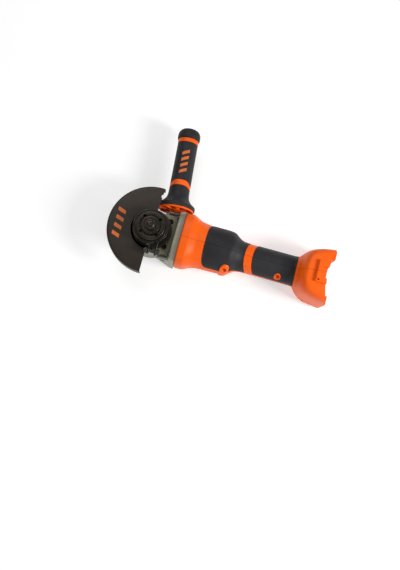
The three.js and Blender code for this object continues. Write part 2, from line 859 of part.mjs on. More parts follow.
function thumbSlide() {
  const base = block([80, 112], [29.9, 31.6], [-8.5, 8.5]);
  const ribs = [84, 88, 92, 96, 100].map((x) => block([x, x + 2], [31.5, 33], [-7.5, 7.5]));
  const stem = block([91, 104.6], [27.6, 30], [-4, 4]);
  return turnedToSlide(join(base, ...ribs, stem));
}

// A flat rod from the slide, past the stator and down through the neck to the switch.
function switchLink() {
  const shape = outline([
    [92, 27.2],
    [92, 25.2],
    [107.5, 25.2],
    [129.5, 12],
    [146, 12],
    [146, 9],
    [149, 9],
    [149, 14],
    [130.5, 14],
    [108.5, 27.2],
  ]);
  return turnedToSlide(plate(shape, -3, 3));
}

function electrics() {
  add("thumb_slide", thumbSlide(), "darkPlastic");
  add("switch_link", switchLink(), "darkPlastic");
  const switchBody = join(
    block([152, 176], [-8, 8], [-9, 9]),
    block([176, 179], [-5, -3], [-6, 6]),
    block([176, 179], [3, 5], [-6, 6]),
  );
  add("switch_module", switchBody, "darkPlastic");
  const tray = cut(
    block([222, 230], [-18, 18], [-14, 26]),
    block([224, 231], [-16.5, 16.5], [-12.5, 24.5]),
  );
  add("controller_tray", tray, "cast");
  const chips = [-10, 0, 10].map((y) => block([226, 229.6], [y - 3, y + 3], [0, 14]));
  add("controller_board", join(block([224.4, 226.2], [-16, 16], [-12, 24]), ...chips), "board");
}

const bladeSpots = [-7, 7];

function terminals() {
  const body = block([channelFloor - 6, terminalEnd], [-13, 13], [-26, 30]);
  const slots = bladeSpots.map((y) => block([channelFloor - 2, 270], [y - 1.8, y + 1.8], [-30, 20]));
  add("terminal_block", cut(body, ...slots), "darkPlastic");
  bladeSpots.forEach((y, i) => {
    const blade = block([channelFloor - 2 + gap, terminalEnd - 0.5], [y - 0.5, y + 0.5], [-18, 16]);
    add(`terminal_blade_${i + 1}`, blade, "steel");
  });
}

// ---------------------------------------------------------------- motor

function stator() {
  const core = tube("x", 20, statorRadius, 60, 96, [0, 0, 0], 32);
  const teeth = [0, 60, 120, 180, 240, 300].map((degrees) => {
    const tooth = new THREE.BoxGeometry(36, 7, 7.6);
    tooth.translate(78, 17.2, 0);
    tooth.rotateX(THREE.MathUtils.degToRad(degrees + 30));
    return solid(tooth);
  });
  return join(core, ...teeth);
}

function rotorShaft() {
  const profile = [
    [0, 15.5],
    [2.7, 15.5],
    [2.7, 24.8],
    [shaftRadius, 24.8],
    [shaftRadius, 111],
    [0, 111],
  ];
  return turned("x", profile, [0, 0, 0], 20);
}

function fan() {
  const hub = rod("x", 8, 38.5, 50);
  const disc = rod("x", 25, 48.4, 50, [0, 0, 0], 28);
  const blades = Array.from({ length: 11 }, (_, i) => {
    const blade = new THREE.BoxGeometry(8.6, 17.6, 1.6);
    blade.translate(44.2, 15.6, 0);
    blade.rotateX((i * 2 * Math.PI) / 11);
    return solid(blade);
  });
  return cut(join(hub, disc, ...blades), rod("x", shaftRadius + gap, 0, 80));
}

function motor() {
  add("motor_bearing_front", tube("x", shaftRadius + gap, 9.5, 28, 35, [0, 0, 0], 20), "steel");
  add("fan", fan(), "darkPlastic");
  add("fan_baffle", tube("x", 12, 25.4, 51.5, 54, [0, 0, 0], 28), "darkPlastic");
  add("stator", stator(), "blackSteel");
  add("winding_front", tube("x", 13.6, 20.5, 55, 59.7, [0, 0, 0], 18), "copper");
  add("winding_rear", tube("x", 13.6, 20.5, 96.3, 101, [0, 0, 0], 18), "copper");
  add("rotor_shaft", rotorShaft(), "steel");
  add("rotor_core", tube("x", shaftRadius + gap, 12.9, 57, 99, [0, 0, 0], 18), "blackSteel");
  add("motor_bearing_rear", tube("x", shaftRadius + gap, 9.5, 103.3, 110, [0, 0, 0], 18), "steel");
}

// ---------------------------------------------------------------- side handle

const handle = new THREE.Group();
handle.position.set(handleBase.x, handleBase.y, handleBase.z);
handle.rotation.z = THREE.MathUtils.degToRad(handleTilt);

// Places along the handle, measured from its seat on the gear housing.
const rimFrom = 4; // the hand guard's rim
const rimRadius = 25;
const sleeveFrom = 6.5; // the soft sleeve wraps over the rim
const flareFrom = 9.5;
const lowerRing = { from: 39.3, to: 46.9 };
const upperRing = { from: 103.3, to: 108.9 };
const coreRadius = 11;
const neckOfCap = { radius: 9, to: 117 };

function handleCore() {
  const profile = [
    [4.4, 0],
    [6.4, 0],
    [6.4, 3],
    [9.5, 5],
    [9.5, flareFrom - 2.2],
    [rimRadius - 1.8, flareFrom - 2.5],
    [rimRadius - 1.8, rimFrom],
    [rimRadius, rimFrom],
    [rimRadius, flareFrom - gap],
    [20, flareFrom + 2.8],
    [13, flareFrom + 8.8],
    [coreRadius, flareFrom + 16.8],
    [coreRadius, lowerRing.from],
    [handleGrip + 0.5, lowerRing.from],
    [handleGrip + 0.5, lowerRing.to],
    [coreRadius, lowerRing.to],
    [coreRadius, upperRing.from],
    [handleGrip + 0.4, upperRing.from],
    [handleGrip + 0.4, upperRing.to],
    [neckOfCap.radius, upperRing.to],
    [neckOfCap.radius, neckOfCap.to],
    [0, neckOfCap.to],
    [0, 21.5],
    [4.4, 21.5],
  ];
  const hollow = profile.concat([profile[0]]);
  const ribs = Array.from({ length: 8 }, (_, i) => {
    const rib = new THREE.BoxGeometry(15.5, 3, 1.4);
    rib.translate(16.5, flareFrom - 3, 0);
    rib.rotateY((i * Math.PI) / 4);
    return solid(rib);
  });
  const points = hollow.map(([r, along]) => new THREE.Vector2(r, along));
  return join(solid(new THREE.LatheGeometry(points, 20)), ...ribs);
}

function sleeve(profile) {
  return turned("y", profile, [0, 0, 0], 20);
}

function flareSleeve() {
  return sleeve([
    [rimRadius + gap, sleeveFrom],
    [handleFlange, sleeveFrom],
    [handleFlange, flareFrom + 1.2],
    [23.6, flareFrom + 4.4],
    [19, flareFrom + 8.4],
    [15.8, flareFrom + 13.5],
    [handleGrip + 0.5, flareFrom + 19],
    [handleGrip + 0.3, lowerRing.from - gap],
    [coreRadius + gap, lowerRing.from - gap],
    [coreRadius + gap, flareFrom + 17],
    [13.4, flareFrom + 9],
    [20.3, flareFrom + 3.1],
    [rimRadius + gap, flareFrom],
  ]);
}

function gripSleeve() {
  return sleeve([
    [handleGrip + 0.3, lowerRing.to + gap],
    [handleGrip + 0.1, 75],
    [handleGrip, upperRing.from - gap],
    [coreRadius + gap, upperRing.from - gap],
    [coreRadius + gap, lowerRing.to + gap],
  ]);
}

function endCap() {
  const inside = { radius: neckOfCap.radius + gap, from: upperRing.to + gap, to: neckOfCap.to + gap };
  return sleeve([
    [inside.radius, inside.from],
    [15.7, inside.from],
    [16.2, 113.5],
    [15.6, 119],
    [13, 123],
    [8.5, handleLength - 0.6],
    [0, handleLength],
    [0, inside.to],
    [inside.radius, inside.to],
  ]);
}

function sideHandle() {
  add("handle_core", handleCore(), "casing", handle);
  add("handle_flare", flareSleeve(), "panel", handle);
  add("handle_grip", gripSleeve(), "panel", handle);
  add("handle_end_cap", endCap(), "panel", handle);
  add("handle_stud", rod("y", 4, -13, 21), "steel", handle);
  tool.add(handle);
}

// ---------------------------------------------------------------- assembly

gears();
spindleGroup();
add("gear_housing", gearHousing(), "cast");
add("bearing_cover", bearingCover(), "cover");
coverScrews();
flangeScrewSet();
spindleLock();
guardGroup();
casing();
softPanels();
electrics();
terminals();
motor();
sideHandle();

// The finished grinder stands with the middle of its underside at the origin.
const bounds = new THREE.Box3().setFromObject(tool, true);
const middle = bounds.getCenter(new THREE.Vector3());
tool.position.set(-middle.x, -middle.y, -bounds.min.z);

export default tool;
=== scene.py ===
import json
import math
from collections import namedtuple

import bmesh
import bpy
import numpy as np
from mathutils import Matrix, Vector


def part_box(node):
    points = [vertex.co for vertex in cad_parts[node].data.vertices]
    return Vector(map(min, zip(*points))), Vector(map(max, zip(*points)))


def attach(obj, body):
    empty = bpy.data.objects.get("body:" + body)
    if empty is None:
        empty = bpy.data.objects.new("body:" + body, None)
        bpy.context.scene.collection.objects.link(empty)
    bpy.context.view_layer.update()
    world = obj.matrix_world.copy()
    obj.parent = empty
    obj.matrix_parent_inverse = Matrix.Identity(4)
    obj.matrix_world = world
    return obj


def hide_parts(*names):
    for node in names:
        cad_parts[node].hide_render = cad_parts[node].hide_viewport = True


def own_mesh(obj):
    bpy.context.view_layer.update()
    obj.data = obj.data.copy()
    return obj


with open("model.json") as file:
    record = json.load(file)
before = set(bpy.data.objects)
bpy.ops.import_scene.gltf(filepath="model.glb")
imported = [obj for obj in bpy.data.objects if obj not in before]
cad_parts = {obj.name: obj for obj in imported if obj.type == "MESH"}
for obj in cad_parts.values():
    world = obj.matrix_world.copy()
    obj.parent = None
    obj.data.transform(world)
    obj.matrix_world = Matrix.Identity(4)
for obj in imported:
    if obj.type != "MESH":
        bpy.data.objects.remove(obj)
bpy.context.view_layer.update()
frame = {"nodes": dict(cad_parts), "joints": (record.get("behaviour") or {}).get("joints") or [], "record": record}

MM = 0.001
GAP = 0.3  # between pieces that touch
crossing = Vector(next(j["pos_m"] for j in frame["joints"] if j["name"] == "spindle_spin"))
to_frame = Matrix.Translation(crossing) @ Matrix.Scale(MM, 4)


def span(node):
    """Lowest and highest corner of a CAD node in the design frame."""
    low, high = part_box(node)
    return (low - crossing) / MM, (high - crossing) / MM


# ------------------------------------------------------------------ solids


def solid(vertices, faces):
    """A closed mesh object with its faces pointing out."""
    mesh = bpy.data.meshes.new("solid")
    mesh.from_pydata([tuple(v) for v in vertices], [], faces)
    bm = bmesh.new()
    bm.from_mesh(mesh)
    bmesh.ops.remove_doubles(bm, verts=bm.verts, dist=1e-4)
    bmesh.ops.recalc_face_normals(bm, faces=bm.faces)
    bm.to_mesh(mesh)
    bm.free()
    made = bpy.data.objects.new("solid", mesh)
    bpy.context.scene.collection.objects.link(made)
    return made


def directions(axis):
    """The axis, and the two directions across it."""
    first = "xyz".index(axis)
    units = [Vector((1, 0, 0)), Vector((0, 1, 0)), Vector((0, 0, 1))]
    return units[first], units[(first + 1) % 3], units[(first + 2) % 3]


def walls(rings, sides, closed=False):
    """Faces between neighbouring rings of vertices, and from the last to the first if closed."""
    faces = []
    for k in range(rings if closed else rings - 1):
        here, there = k * sides, (k + 1) % rings * sides
        for i in range(sides):
            j = (i + 1) % sides
            faces.append((here + i, here + j, there + j, there + i))
    return faces


def turned(axis, profile, at=(0, 0, 0), sides=96):
    """A profile of (radius, place along the axis) points turned round the axis.

    It starts and ends on the axis, or keeps clear of it for a piece with a bore.
    """
    along, across, beside = directions(axis)
    vertices = []
    for radius, place in profile:
        for i in range(sides):
            angle = 2 * math.pi * i / sides
            spoke = across * math.cos(angle) + beside * math.sin(angle)
            vertices.append(Vector(at) + along * place + spoke * radius)
    has_bore = profile[0][0] > 0
    return solid(vertices, walls(len(profile), sides, closed=has_bore))


def prism(points, low, high, axis="z"):
    """A flat outline with a thickness along an axis. Its points hold the other two coordinates."""
    along = "xyz".index(axis)
    first, second = (i for i in range(3) if i != along)
    vertices = []
    for level in (low, high):
        for point in points:
            vertex = [0, 0, 0]
            vertex[first], vertex[second], vertex[along] = point[0], point[1], level
            vertices.append(vertex)
    count = len(points)
    faces = [tuple(range(count)), tuple(range(count, 2 * count))]
    for i in range(count):
        j = (i + 1) % count
        faces.append((i, j, count + j, count + i))
    return solid(vertices, faces)


def block(x, y, z, soft=0.0):
    """A box between the given limits, with its edges rounded by the soft radius."""
    made = prism([(x[0], y[0]), (x[1], y[0]), (x[1], y[1]), (x[0], y[1])], z[0], z[1])
    if soft:
        bevel(made, soft)
    return made


def rod(axis, radius, low, high, at=(0, 0, 0), soft=0.0, sides=48):
    """A round rod, with its end edges rounded by the soft radius."""
    profile = [(0, low, 0), (radius, low), (radius, high), (0, high, 0)]
    return turned(axis, rounded(profile, soft), at, sides)


def rounded(points, radius, steps=4):
    """The outline with its corners rounded. A third number at a point is its own radius."""
    curve = []
    for i, point in enumerate(points):
        corner = Vector(point[:2])
        reach = point[2] if len(point) > 2 else radius
        if not reach:
            curve.append(corner)
            continue
        neighbours = (points[i - 1], points[(i + 1) % len(points)])
        sides = [Vector(other[:2]) - corner for other in neighbours]
        ends = [corner + side.normalized() * min(reach, side.length * 0.45) for side in sides]
        for step in range(steps + 1):
            share = step / steps
            inward = ends[0].lerp(corner, share)
            curve.append(inward.lerp(corner.lerp(ends[1], share), share))
    return curve


def arc(radius, start, end, steps=48, centre=(0, 0)):
    """Points on a circle between two angles in degrees."""
    angles = [math.radians(start + (end - start) * i / steps) for i in range(steps + 1)]
    return [(centre[0] + radius * math.cos(a), centre[1] + radius * math.sin(a)) for a in angles]


def bend(start, control, end, steps=12):
    """Points on a curve from start to end that leaves and arrives towards the control point."""
    start, control, end = Vector(start), Vector(control), Vector(end)
    shares = [i / steps for i in range(steps + 1)]
    return [start.lerp(control, s).lerp(control.lerp(end, s), s) for s in shares]


def settle(piece):
    """Turns the piece's modifiers into its mesh."""
    depsgraph = bpy.context.evaluated_depsgraph_get()
    mesh = bpy.data.meshes.new_from_object(piece.evaluated_get(depsgraph))
    piece.modifiers.clear()
    piece.data = mesh
    return piece


def bevel(piece, width, segments=3, angle=35):
    """Rounds the edges whose faces meet at more than the angle in degrees."""
    modifier = piece.modifiers.new("bevel", "BEVEL")
    modifier.width = width
    modifier.segments = segments
    modifier.angle_limit = math.radians(angle)
    return settle(piece)


def combine(operation, body, tools):
    """The body after a boolean with each of the tools, which are used up."""
    for tool in tools:
        modifier = body.modifiers.new("combine", "BOOLEAN")
        modifier.operation = operation
        modifier.solver = "MANIFOLD"
        modifier.object = tool
    settle(body)
    for tool in tools:
        bpy.data.objects.remove(tool)
    return body


def join(body, *tools):
    return combine("UNION", body, tools)


def cut(body, *tools):
    return combine("DIFFERENCE", body, tools)


def common(body, *tools):
    return combine("INTERSECT", body, tools)


def copy_of(piece):
    made = piece.copy()
    made.data = piece.data.copy()
    bpy.context.scene.collection.objects.link(made)
    return made


def cast(piece):
    """Melts the piece's edges and inner corners together, as a casting has them."""
    remesh = piece.modifiers.new("remesh", "REMESH")
    remesh.mode = "VOXEL"
    remesh.voxel_size = 0.7
    smooth = piece.modifiers.new("smooth", "SMOOTH")
    smooth.iterations = 4
    return settle(piece)


# ------------------------------------------------------------------ materials


def linear(red, green, blue):
    """A colour given as it looks on a screen, from 0 to 255, as the shader wants it."""
    return tuple((c / 255) ** 2.2 for c in (red, green, blue)) + (1.0,)


MIX_COLOURS = (6, 7)  # a Mix node's sockets for its two colours
MIX_RESULT = 2  # and for the colour between them
PATTERN_RANGE = (0.3, 0.7)  # where most of a noise texture's values lie


class Look:
    """A Principled material whose colour, roughness and bump vary over the surface."""

    def __init__(self, name, roughness, metallic=0.0, specular=0.5):
        self.material = bpy.data.materials.new(name)
        self.material.use_nodes = True
        self.tree = self.material.node_tree
        self.shader = self.tree.nodes["Principled BSDF"]
        self.shader.inputs["Roughness"].default_value = roughness
        self.shader.inputs["Metallic"].default_value = metallic
        self.shader.inputs["Specular IOR Level"].default_value = specular
        self.place = self.tree.nodes.new("ShaderNodeTexCoord").outputs["Object"]

    def link(self, output, target):
        self.tree.links.new(output, target)

    def noise(self, size, detail=3.0, stretch=(1, 1, 1)):
        """Noise with features of about the given size in millimetres."""
        mapping = self.tree.nodes.new("ShaderNodeMapping")
        mapping.inputs["Scale"].default_value = stretch
        texture = self.tree.nodes.new("ShaderNodeTexNoise")
        texture.inputs["Scale"].default_value = 1 / (size * MM)
        texture.inputs["Detail"].default_value = detail
        self.link(self.place, mapping.inputs["Vector"])
        self.link(mapping.outputs["Vector"], texture.inputs["Vector"])
        return texture.outputs["Fac"]

    def cells(self, size):
        """Rounded cells of about the given size in millimetres."""
        texture = self.tree.nodes.new("ShaderNodeTexVoronoi")
        texture.feature = "SMOOTH_F1"
        texture.inputs["Scale"].default_value = 1 / (size * MM)
        self.link(self.place, texture.inputs["Vector"])
        return texture.outputs["Distance"]

    def remap(self, value, low, high):
        """A pattern's usual range stretched to the given one."""
        node = self.tree.nodes.new("ShaderNodeMapRange")
        node.inputs["From Min"].default_value, node.inputs["From Max"].default_value = PATTERN_RANGE
        node.inputs["To Min"].default_value = low
        node.inputs["To Max"].default_value = high
        self.link(value, node.inputs["Value"])
        return node.outputs["Result"]

    def colour(self, pattern, dark, light):
        """Patches between two screen colours, laid out by the pattern."""
        patches = self.remap(pattern, 0.0, 1.0)
        node = self.tree.nodes.new("ShaderNodeMix")
        node.data_type = "RGBA"
        self.link(patches, node.inputs["Factor"])
        for socket, colour in zip(MIX_COLOURS, (dark, light)):
            node.inputs[socket].default_value = linear(*colour)
        self.link(node.outputs[MIX_RESULT], self.shader.inputs["Base Color"])

    def roughness(self, pattern, low, high):
        """Roughness that wanders between two values with the pattern."""
        self.link(self.remap(pattern, low, high), self.shader.inputs["Roughness"])

    def bump(self, height, depth):
        """Relief of the given depth in millimetres."""
        node = self.tree.nodes.new("ShaderNodeBump")
        node.inputs["Distance"].default_value = depth * MM
        self.link(height, node.inputs["Height"])
        self.link(node.outputs["Normal"], self.shader.inputs["Normal"])


def plastic(name, dark, light, roughness):
    """Moulded plastic with a fine spark-eroded grain."""
    look = Look(name, roughness, specular=0.25)
    look.colour(look.noise(35.0), dark, light)
    look.roughness(look.noise(9.0), roughness - 0.05, roughness + 0.06)
    look.bump(look.noise(0.5, detail=1.0), 0.02)
    return look


def casing_plastic():
    return plastic("casing_plastic", (233, 88, 2), (243, 97, 2), 0.42)


def panel_rubber():
    """Soft overmould with a pebbled surface."""
    look = Look("panel_rubber", 0.56, specular=0.25)
    look.colour(look.noise(22.0), (34, 33, 35), (44, 43, 46))
    look.roughness(look.noise(6.0), 0.5, 0.62)
    look.bump(look.cells(0.9), 0.05)
    return look


def dark_plastic():
    return plastic("dark_plastic", (32, 32, 34), (44, 44, 46), 0.5)


def painted_metal(name, dark, light, roughness):
    """Baked paint with a slight orange peel."""
    look = Look(name, roughness, metallic=0.2, specular=0.3)
    look.colour(look.noise(28.0, detail=5.0), dark, light)
    look.roughness(look.noise(3.0, detail=4.0), roughness - 0.07, roughness + 0.07)
    look.bump(look.noise(1.2, detail=2.0), 0.03)
    return look


def guard_metal():
    return painted_metal("guard_metal", (46, 40, 34), (54, 47, 40), 0.42)


def cover_metal():
    return painted_metal("cover_metal", (106, 100, 82), (122, 116, 96), 0.4)


def black_steel():
    """Blackened turned steel with the lathe's fine marks."""
    look = Look("black_steel", 0.28, metallic=0.7, specular=0.4)
    look.colour(look.noise(14.0, detail=4.0), (44, 40, 34), (60, 55, 48))
    look.roughness(look.noise(2.0, detail=4.0), 0.2, 0.36)
    look.bump(look.noise(0.5, stretch=(0.25, 0.25, 2.0)), 0.015)
    return look


def plated_steel(name, dark, light, roughness):
    """Zinc-plated or ground steel, slightly mottled."""
    look = Look(name, roughness, metallic=1.0)
    look.colour(look.noise(8.0, detail=5.0), dark, light)
    look.roughness(look.noise(1.5, detail=4.0), roughness - 0.08, roughness + 0.1)
    look.bump(look.noise(0.6, stretch=(1, 1, 0.2)), 0.01)
    return look


def bright_steel():
    return plated_steel("steel", (150, 152, 156), (196, 198, 202), 0.28)


def band_steel():
    return plated_steel("band_steel", (50, 48, 46), (72, 70, 68), 0.3)


# Darker steel: the clamp screw and nut have it as their own colour; on the housing screws it is painted shade of
# the pockets they sit in.
def fastener_steel():
    return plated_steel("dark_steel_and_pocket_shade", (60, 59, 58), (84, 83, 82), 0.32)


def cast_metal():
    """Die-cast alloy: a fine skin with shallow flow marks."""
    look = Look("cast_metal", 0.5, metallic=0.1, specular=0.3)
    look.colour(look.noise(18.0, detail=5.0), (142, 140, 126), (158, 156, 141))
    look.roughness(look.noise(4.0, detail=4.0), 0.44, 0.58)
    look.bump(look.noise(0.7, detail=4.0), 0.06)
    return look


def copper():
    """Enamelled windings, with strands that run round the motor."""
    look = Look("copper", 0.35, metallic=0.9)
    look.colour(look.noise(3.0), (150, 82, 44), (204, 124, 70))
    look.bump(look.noise(0.8, stretch=(3, 0.4, 0.4)), 0.2)
    return look


def board():
    """Circuit board lacquer over its tracks."""
    look = Look("board", 0.4)
    look.colour(look.cells(3.0), (24, 84, 48), (40, 110, 66))
    look.bump(look.cells(3.0), 0.05)
    return look


def printed_mark():
    """Ink of a plain printed mark, a little thin in places."""
    look = Look("printed_mark", 0.5)
    look.colour(look.noise(2.0), (196, 92, 30), (216, 110, 40))
    look.bump(look.noise(0.5), 0.01)
    return look


looks = {
    "casing_plastic": casing_plastic(),
    "panel_rubber": panel_rubber(),
    "dark_plastic": dark_plastic(),
    "guard_metal": guard_metal(),
    "cover_metal": cover_metal(),
    "black_steel": black_steel(),
    "steel": bright_steel(),
    "cast_metal": cast_metal(),
    "copper": copper(),
    "board": board(),
}
band_look = band_steel()
fastener_and_pocket_shade_look = fastener_steel()
mark_look = printed_mark()
slot_of = {part["node"]: part["material_slot"] for part in frame["record"]["subparts"]}
body_of = {
    node: body for body, nodes in frame["record"]["behaviour"]["bodies"].items() for node in nodes
}


def dress_cad_nodes():
    """Gives every CAD node its slot's material, for those that stay in view, except the housing screws, which get
    the darker steel as painted shade of the pockets they sit in.
    """
    for name, node in frame["nodes"].items():
        # The housing screws get the darker steel in place of their slot's bright steel: painted shade of the
        # pockets they sit in.
        look = fastener_and_pocket_shade_look if name.startswith("housing_screw") else looks[slot_of[name]]
        node.data.materials.clear()
        node.data.materials.append(look.material)


def show(name, piece, *nodes, look=None, smooth=35, move=None):
    """Names the piece, puts it in the frame, and lets it stand for the CAD nodes.

    Edges whose faces meet at less than the smooth angle are shaded as one surface.
    """
    piece.name = name
    piece.data.name = name
    piece.data.transform(to_frame @ (move or Matrix()))
    piece.data.shade_smooth()
    piece.data.set_sharp_from_angle(angle=math.radians(smooth))
    piece.data.materials.clear()
    piece.data.materials.append((look or looks[slot_of[nodes[0]]]).material)
    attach(piece, body_of[nodes[0]])
    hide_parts(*nodes)
    return piece


# ------------------------------------------------------------------ the body's outer form

# Place along X, half width, height above and depth below the motor axis, and squareness.
SECTIONS = [
    (33, 35.4, 28.2, 30.2, 3),
    (35.5, 37, 29, 31, 3),
    (42, 38.2, 29.2, 31, 3),
    (42.2, 38.3, 34, 31, 3),
    (52.6, 38.5, 34.5, 31, 3),
    (53.4, 38.3, 34.3, 31, 3),
    (64.1, 33.8, 31, 31.3, 2.5),
    (64.9, 33.5, 30.9, 31.3, 2.5),
    (66, 33.2, 30.9, 31.3, 2.4),
    (80, 31.8, 31, 31.5, 2),
    (106, 31.6, 31, 31.4, 2),
    (112, 31, 30.8, 31, 2),
    (116, 29.6, 29.7, 29.8, 2),
    (122, 25.3, 25.7, 25.7, 2),
    (126, 22.9, 23.4, 23.4, 2),
    (131, 21.5, 21.9, 21.9, 2),
    (138, 21, 21.5, 21.5, 2),
    (203, 20.9, 21.9, 22, 2),
    (209, 21.4, 25, 22.4, 2),
    (212, 23.6, 33, 22.8, 2.5),
    (216, 27.6, 40.5, 24, 3.4),
    (221, 31, 43.3, 26.5, 4.4),
    (228, 33.6, 44, 30.5, 5.2),
    (238, 36.4, 44, 34.6, 5.6),
    (250, 38.4, 44, 34.6, 5.6),
    (260, 39.6, 44, 34.6, 5.6),
]


def through_points(xs, ys, wanted):
    """A smooth curve through the points that never swings past them."""
    steps = np.diff(xs)
    slopes = np.diff(ys) / steps
    before, after = slopes[:-1], slopes[1:]
    same = before * after > 0
    bends = np.zeros_like(before)
    bends[same] = 2 * before[same] * after[same] / (before[same] + after[same])
    tangents = np.concatenate(([slopes[0]], bends, [slopes[-1]]))
    i = np.clip(np.searchsorted(xs, wanted) - 1, 0, len(steps) - 1)
    t = (wanted - xs[i]) / steps[i]
    start = (1 + 2 * t) * (1 - t) ** 2 * ys[i] + t * (1 - t) ** 2 * steps[i] * tangents[i]
    end = t**2 * (3 - 2 * t) * ys[i + 1] + t**2 * (t - 1) * steps[i] * tangents[i + 1]
    return start + end


BODY_SIDES = 120


def signed_power(values, power):
    """Each value's size raised to the power, with the value's sign."""
    return np.sign(values) * np.abs(values) ** power


def body_form(inset, start, end, step=1.2, round_end=0.0):
    """The body between two places along X, thinner by the inset all round."""
    sides = BODY_SIDES
    table = np.array(SECTIONS, float).T
    bends = [x for x in table[0] if start < x < end]
    places = np.unique([*np.linspace(start, end, int((end - start) / step) + 1), *bends])
    width, above, below, power = (through_points(table[0], row, places) for row in table[1:])
    angles = 2 * math.pi * np.arange(sides) / sides
    vertices = []
    for k, place in enumerate(places):
        from_end = min(place - start, end - place, round_end) if round_end else 0
        drop = round_end - math.sqrt(max(0, round_end**2 - (round_end - from_end) ** 2))
        less = inset + drop
        cos = signed_power(np.cos(angles), 2 / power[k])
        sin = signed_power(np.sin(angles), 2 / power[k])
        height = np.where(sin > 0, above[k], below[k])
        for y, z in zip(cos * (width[k] - less), sin * (height - less)):
            vertices.append((place, y, z))
    front = tuple(range(sides))
    back = tuple(range(len(vertices) - sides, len(vertices)))
    return solid(vertices, [*walls(len(places), sides), front, back])


# ------------------------------------------------------------------ gear head

REST = span("gear_housing")[0].z
UNDERSIDE = REST + 0.02  # keeps flat undersides off the floor
NOSE_RADIUS = 30.2  # the gear housing's round front
FLARE_HALF = 36.4  # half width to which its sides flare
FLANGE_FRONT = 33
FLANGE_BACK = span("gear_housing")[1].x
COVER_LOW = span("bearing_cover")[0].z
COVER_HIGH = 17  # top of the cover's plate
NECK_RADIUS = 20  # the tube on the cover that the guard clamps round
NECK_SHOULDER = 28.3  # under the neck's top, where the bearing stops
BEARING_RADIUS = 16.2
COVER_SCREWS = [(23, 18), (23, -18), (-17, 19), (-17, -19)]
FLANGE_SCREWS = [(27, 17), (-27, 17), (27, -17), (-27, -17)]
LOCK_RADIUS = 13.6
SPRING_ENDS = (-29, -22.4)  # middle of the wire at the lock spring's ends
HANDLE_TILT = 5
HANDLE_BASE = Vector((24.9, 34.6, 2))
HANDLE_SEATS = [(12, 1), (9.5, -1)]  # radius of the handle's seat, and its side
handle_place = Matrix.Translation(HANDLE_BASE) @ Matrix.Rotation(math.radians(HANDLE_TILT), 4, "Z")


def handle_boss(radius, low, high, side):
    """A rod on the side handle's axis, or on its mirror image on the other side."""
    made = rod("y", radius, low, high)
    made.data.transform(handle_place)
    if side < 0:
        made.data.transform(Matrix.Scale(-1, 4, Vector((0, 1, 0))))
        made.data.flip_normals()
    return made


def housing_outline():
    """The gear housing from above: a round nose whose sides flare to the flange."""
    nose = arc(NOSE_RADIUS, 65, 295)
    flare = bend((12.8, 27.4), (26, 32.2), (FLANGE_FRONT + 4, FLARE_HALF))
    back = [(FLANGE_BACK + 8, -FLARE_HALF), (FLANGE_BACK + 8, FLARE_HALF)]
    return nose + [(x, -y) for x, y in flare] + back + flare[::-1]


def housing_casting():
    """The gear housing before it is machined."""
    top = COVER_LOW - GAP
    casting = bevel(prism(housing_outline(), REST, top + 8), 5, segments=6, angle=50)
    flange = body_form(0, FLANGE_FRONT, FLANGE_BACK, step=0.8)
    bosses = [handle_boss(radius, -6.2, -GAP, side) for radius, side in HANDLE_SEATS]
    casting = cut(casting, block((FLANGE_BACK - 1, 80), (-70, 70), (-70, 70)))
    body = join(casting, flange, *bosses)
    cover_room = block((-70, FLANGE_FRONT), (-70, 70), (top, 70))
    under = block((-70, 70), (-70, 70), (-70, UNDERSIDE))
    return cast(cut(body, cover_room, under))


def gear_housing():
    gear_room = rod("z", 24.6, -17, 14)
    motor_seat = rod("x", 26.6, 37, 50)
    shaft_bore = rod("x", 9.8, 15, 40)
    button_bore = rod("z", 5.8, -40, -21.5, (-LOCK_RADIUS, 0, 0))
    cuts = [gear_room, motor_seat, shaft_bore, button_bore]
    cuts += [handle_boss(4.3, -17, 5, side) for side in (1, -1)]
    cuts += [rod("x", 4.2, 25, FLANGE_FRONT + 1, (0, y, z)) for y, z in FLANGE_SCREWS]
    top_hollows = [block((20, 40), (y - 6, y + 6), (18.5, 23), soft=1) for y in (-15, 15)]
    side_vents = [block((18, 31), (y - 1.6, y + 1.6), (7, 16), soft=1) for y in (-30, 30)]
    return cut(housing_casting(), *cuts, *top_hollows, *side_vents)


def bearing_cover():
    corner = bend((26, 27.5), (32.4, 27), (32.4, 20))
    outline = arc(28.5, 75, 285) + [(x, -y) for x, y in corner] + corner[::-1]
    plate = bevel(prism(outline, COVER_LOW, COVER_HIGH), 0.9, angle=50)
    ring = turned("z", rounded([(16, 13), (25.4, 13), (24.6, 19.5), (16, 19.5)], 1))
    bearing_seat = rod("z", BEARING_RADIUS, 8, NECK_SHOULDER)
    gear_room = rod("z", 24.3, 8, COVER_LOW + 3.5)
    body = cut(join(plate, ring), bearing_seat, gear_room)
    sockets = [rod("z", 3.9, COVER_HIGH - 3, 30, (x, y, 0)) for x, y in COVER_SCREWS]
    body = cut(body, *sockets)
    neck = [(BEARING_RADIUS, 15.8), (NECK_RADIUS, 15.8), (NECK_RADIUS, 31), (13, 31)]
    neck += [(13, NECK_SHOULDER), (BEARING_RADIUS, NECK_SHOULDER)]
    return join(body, turned("z", rounded(neck, 0.6)))


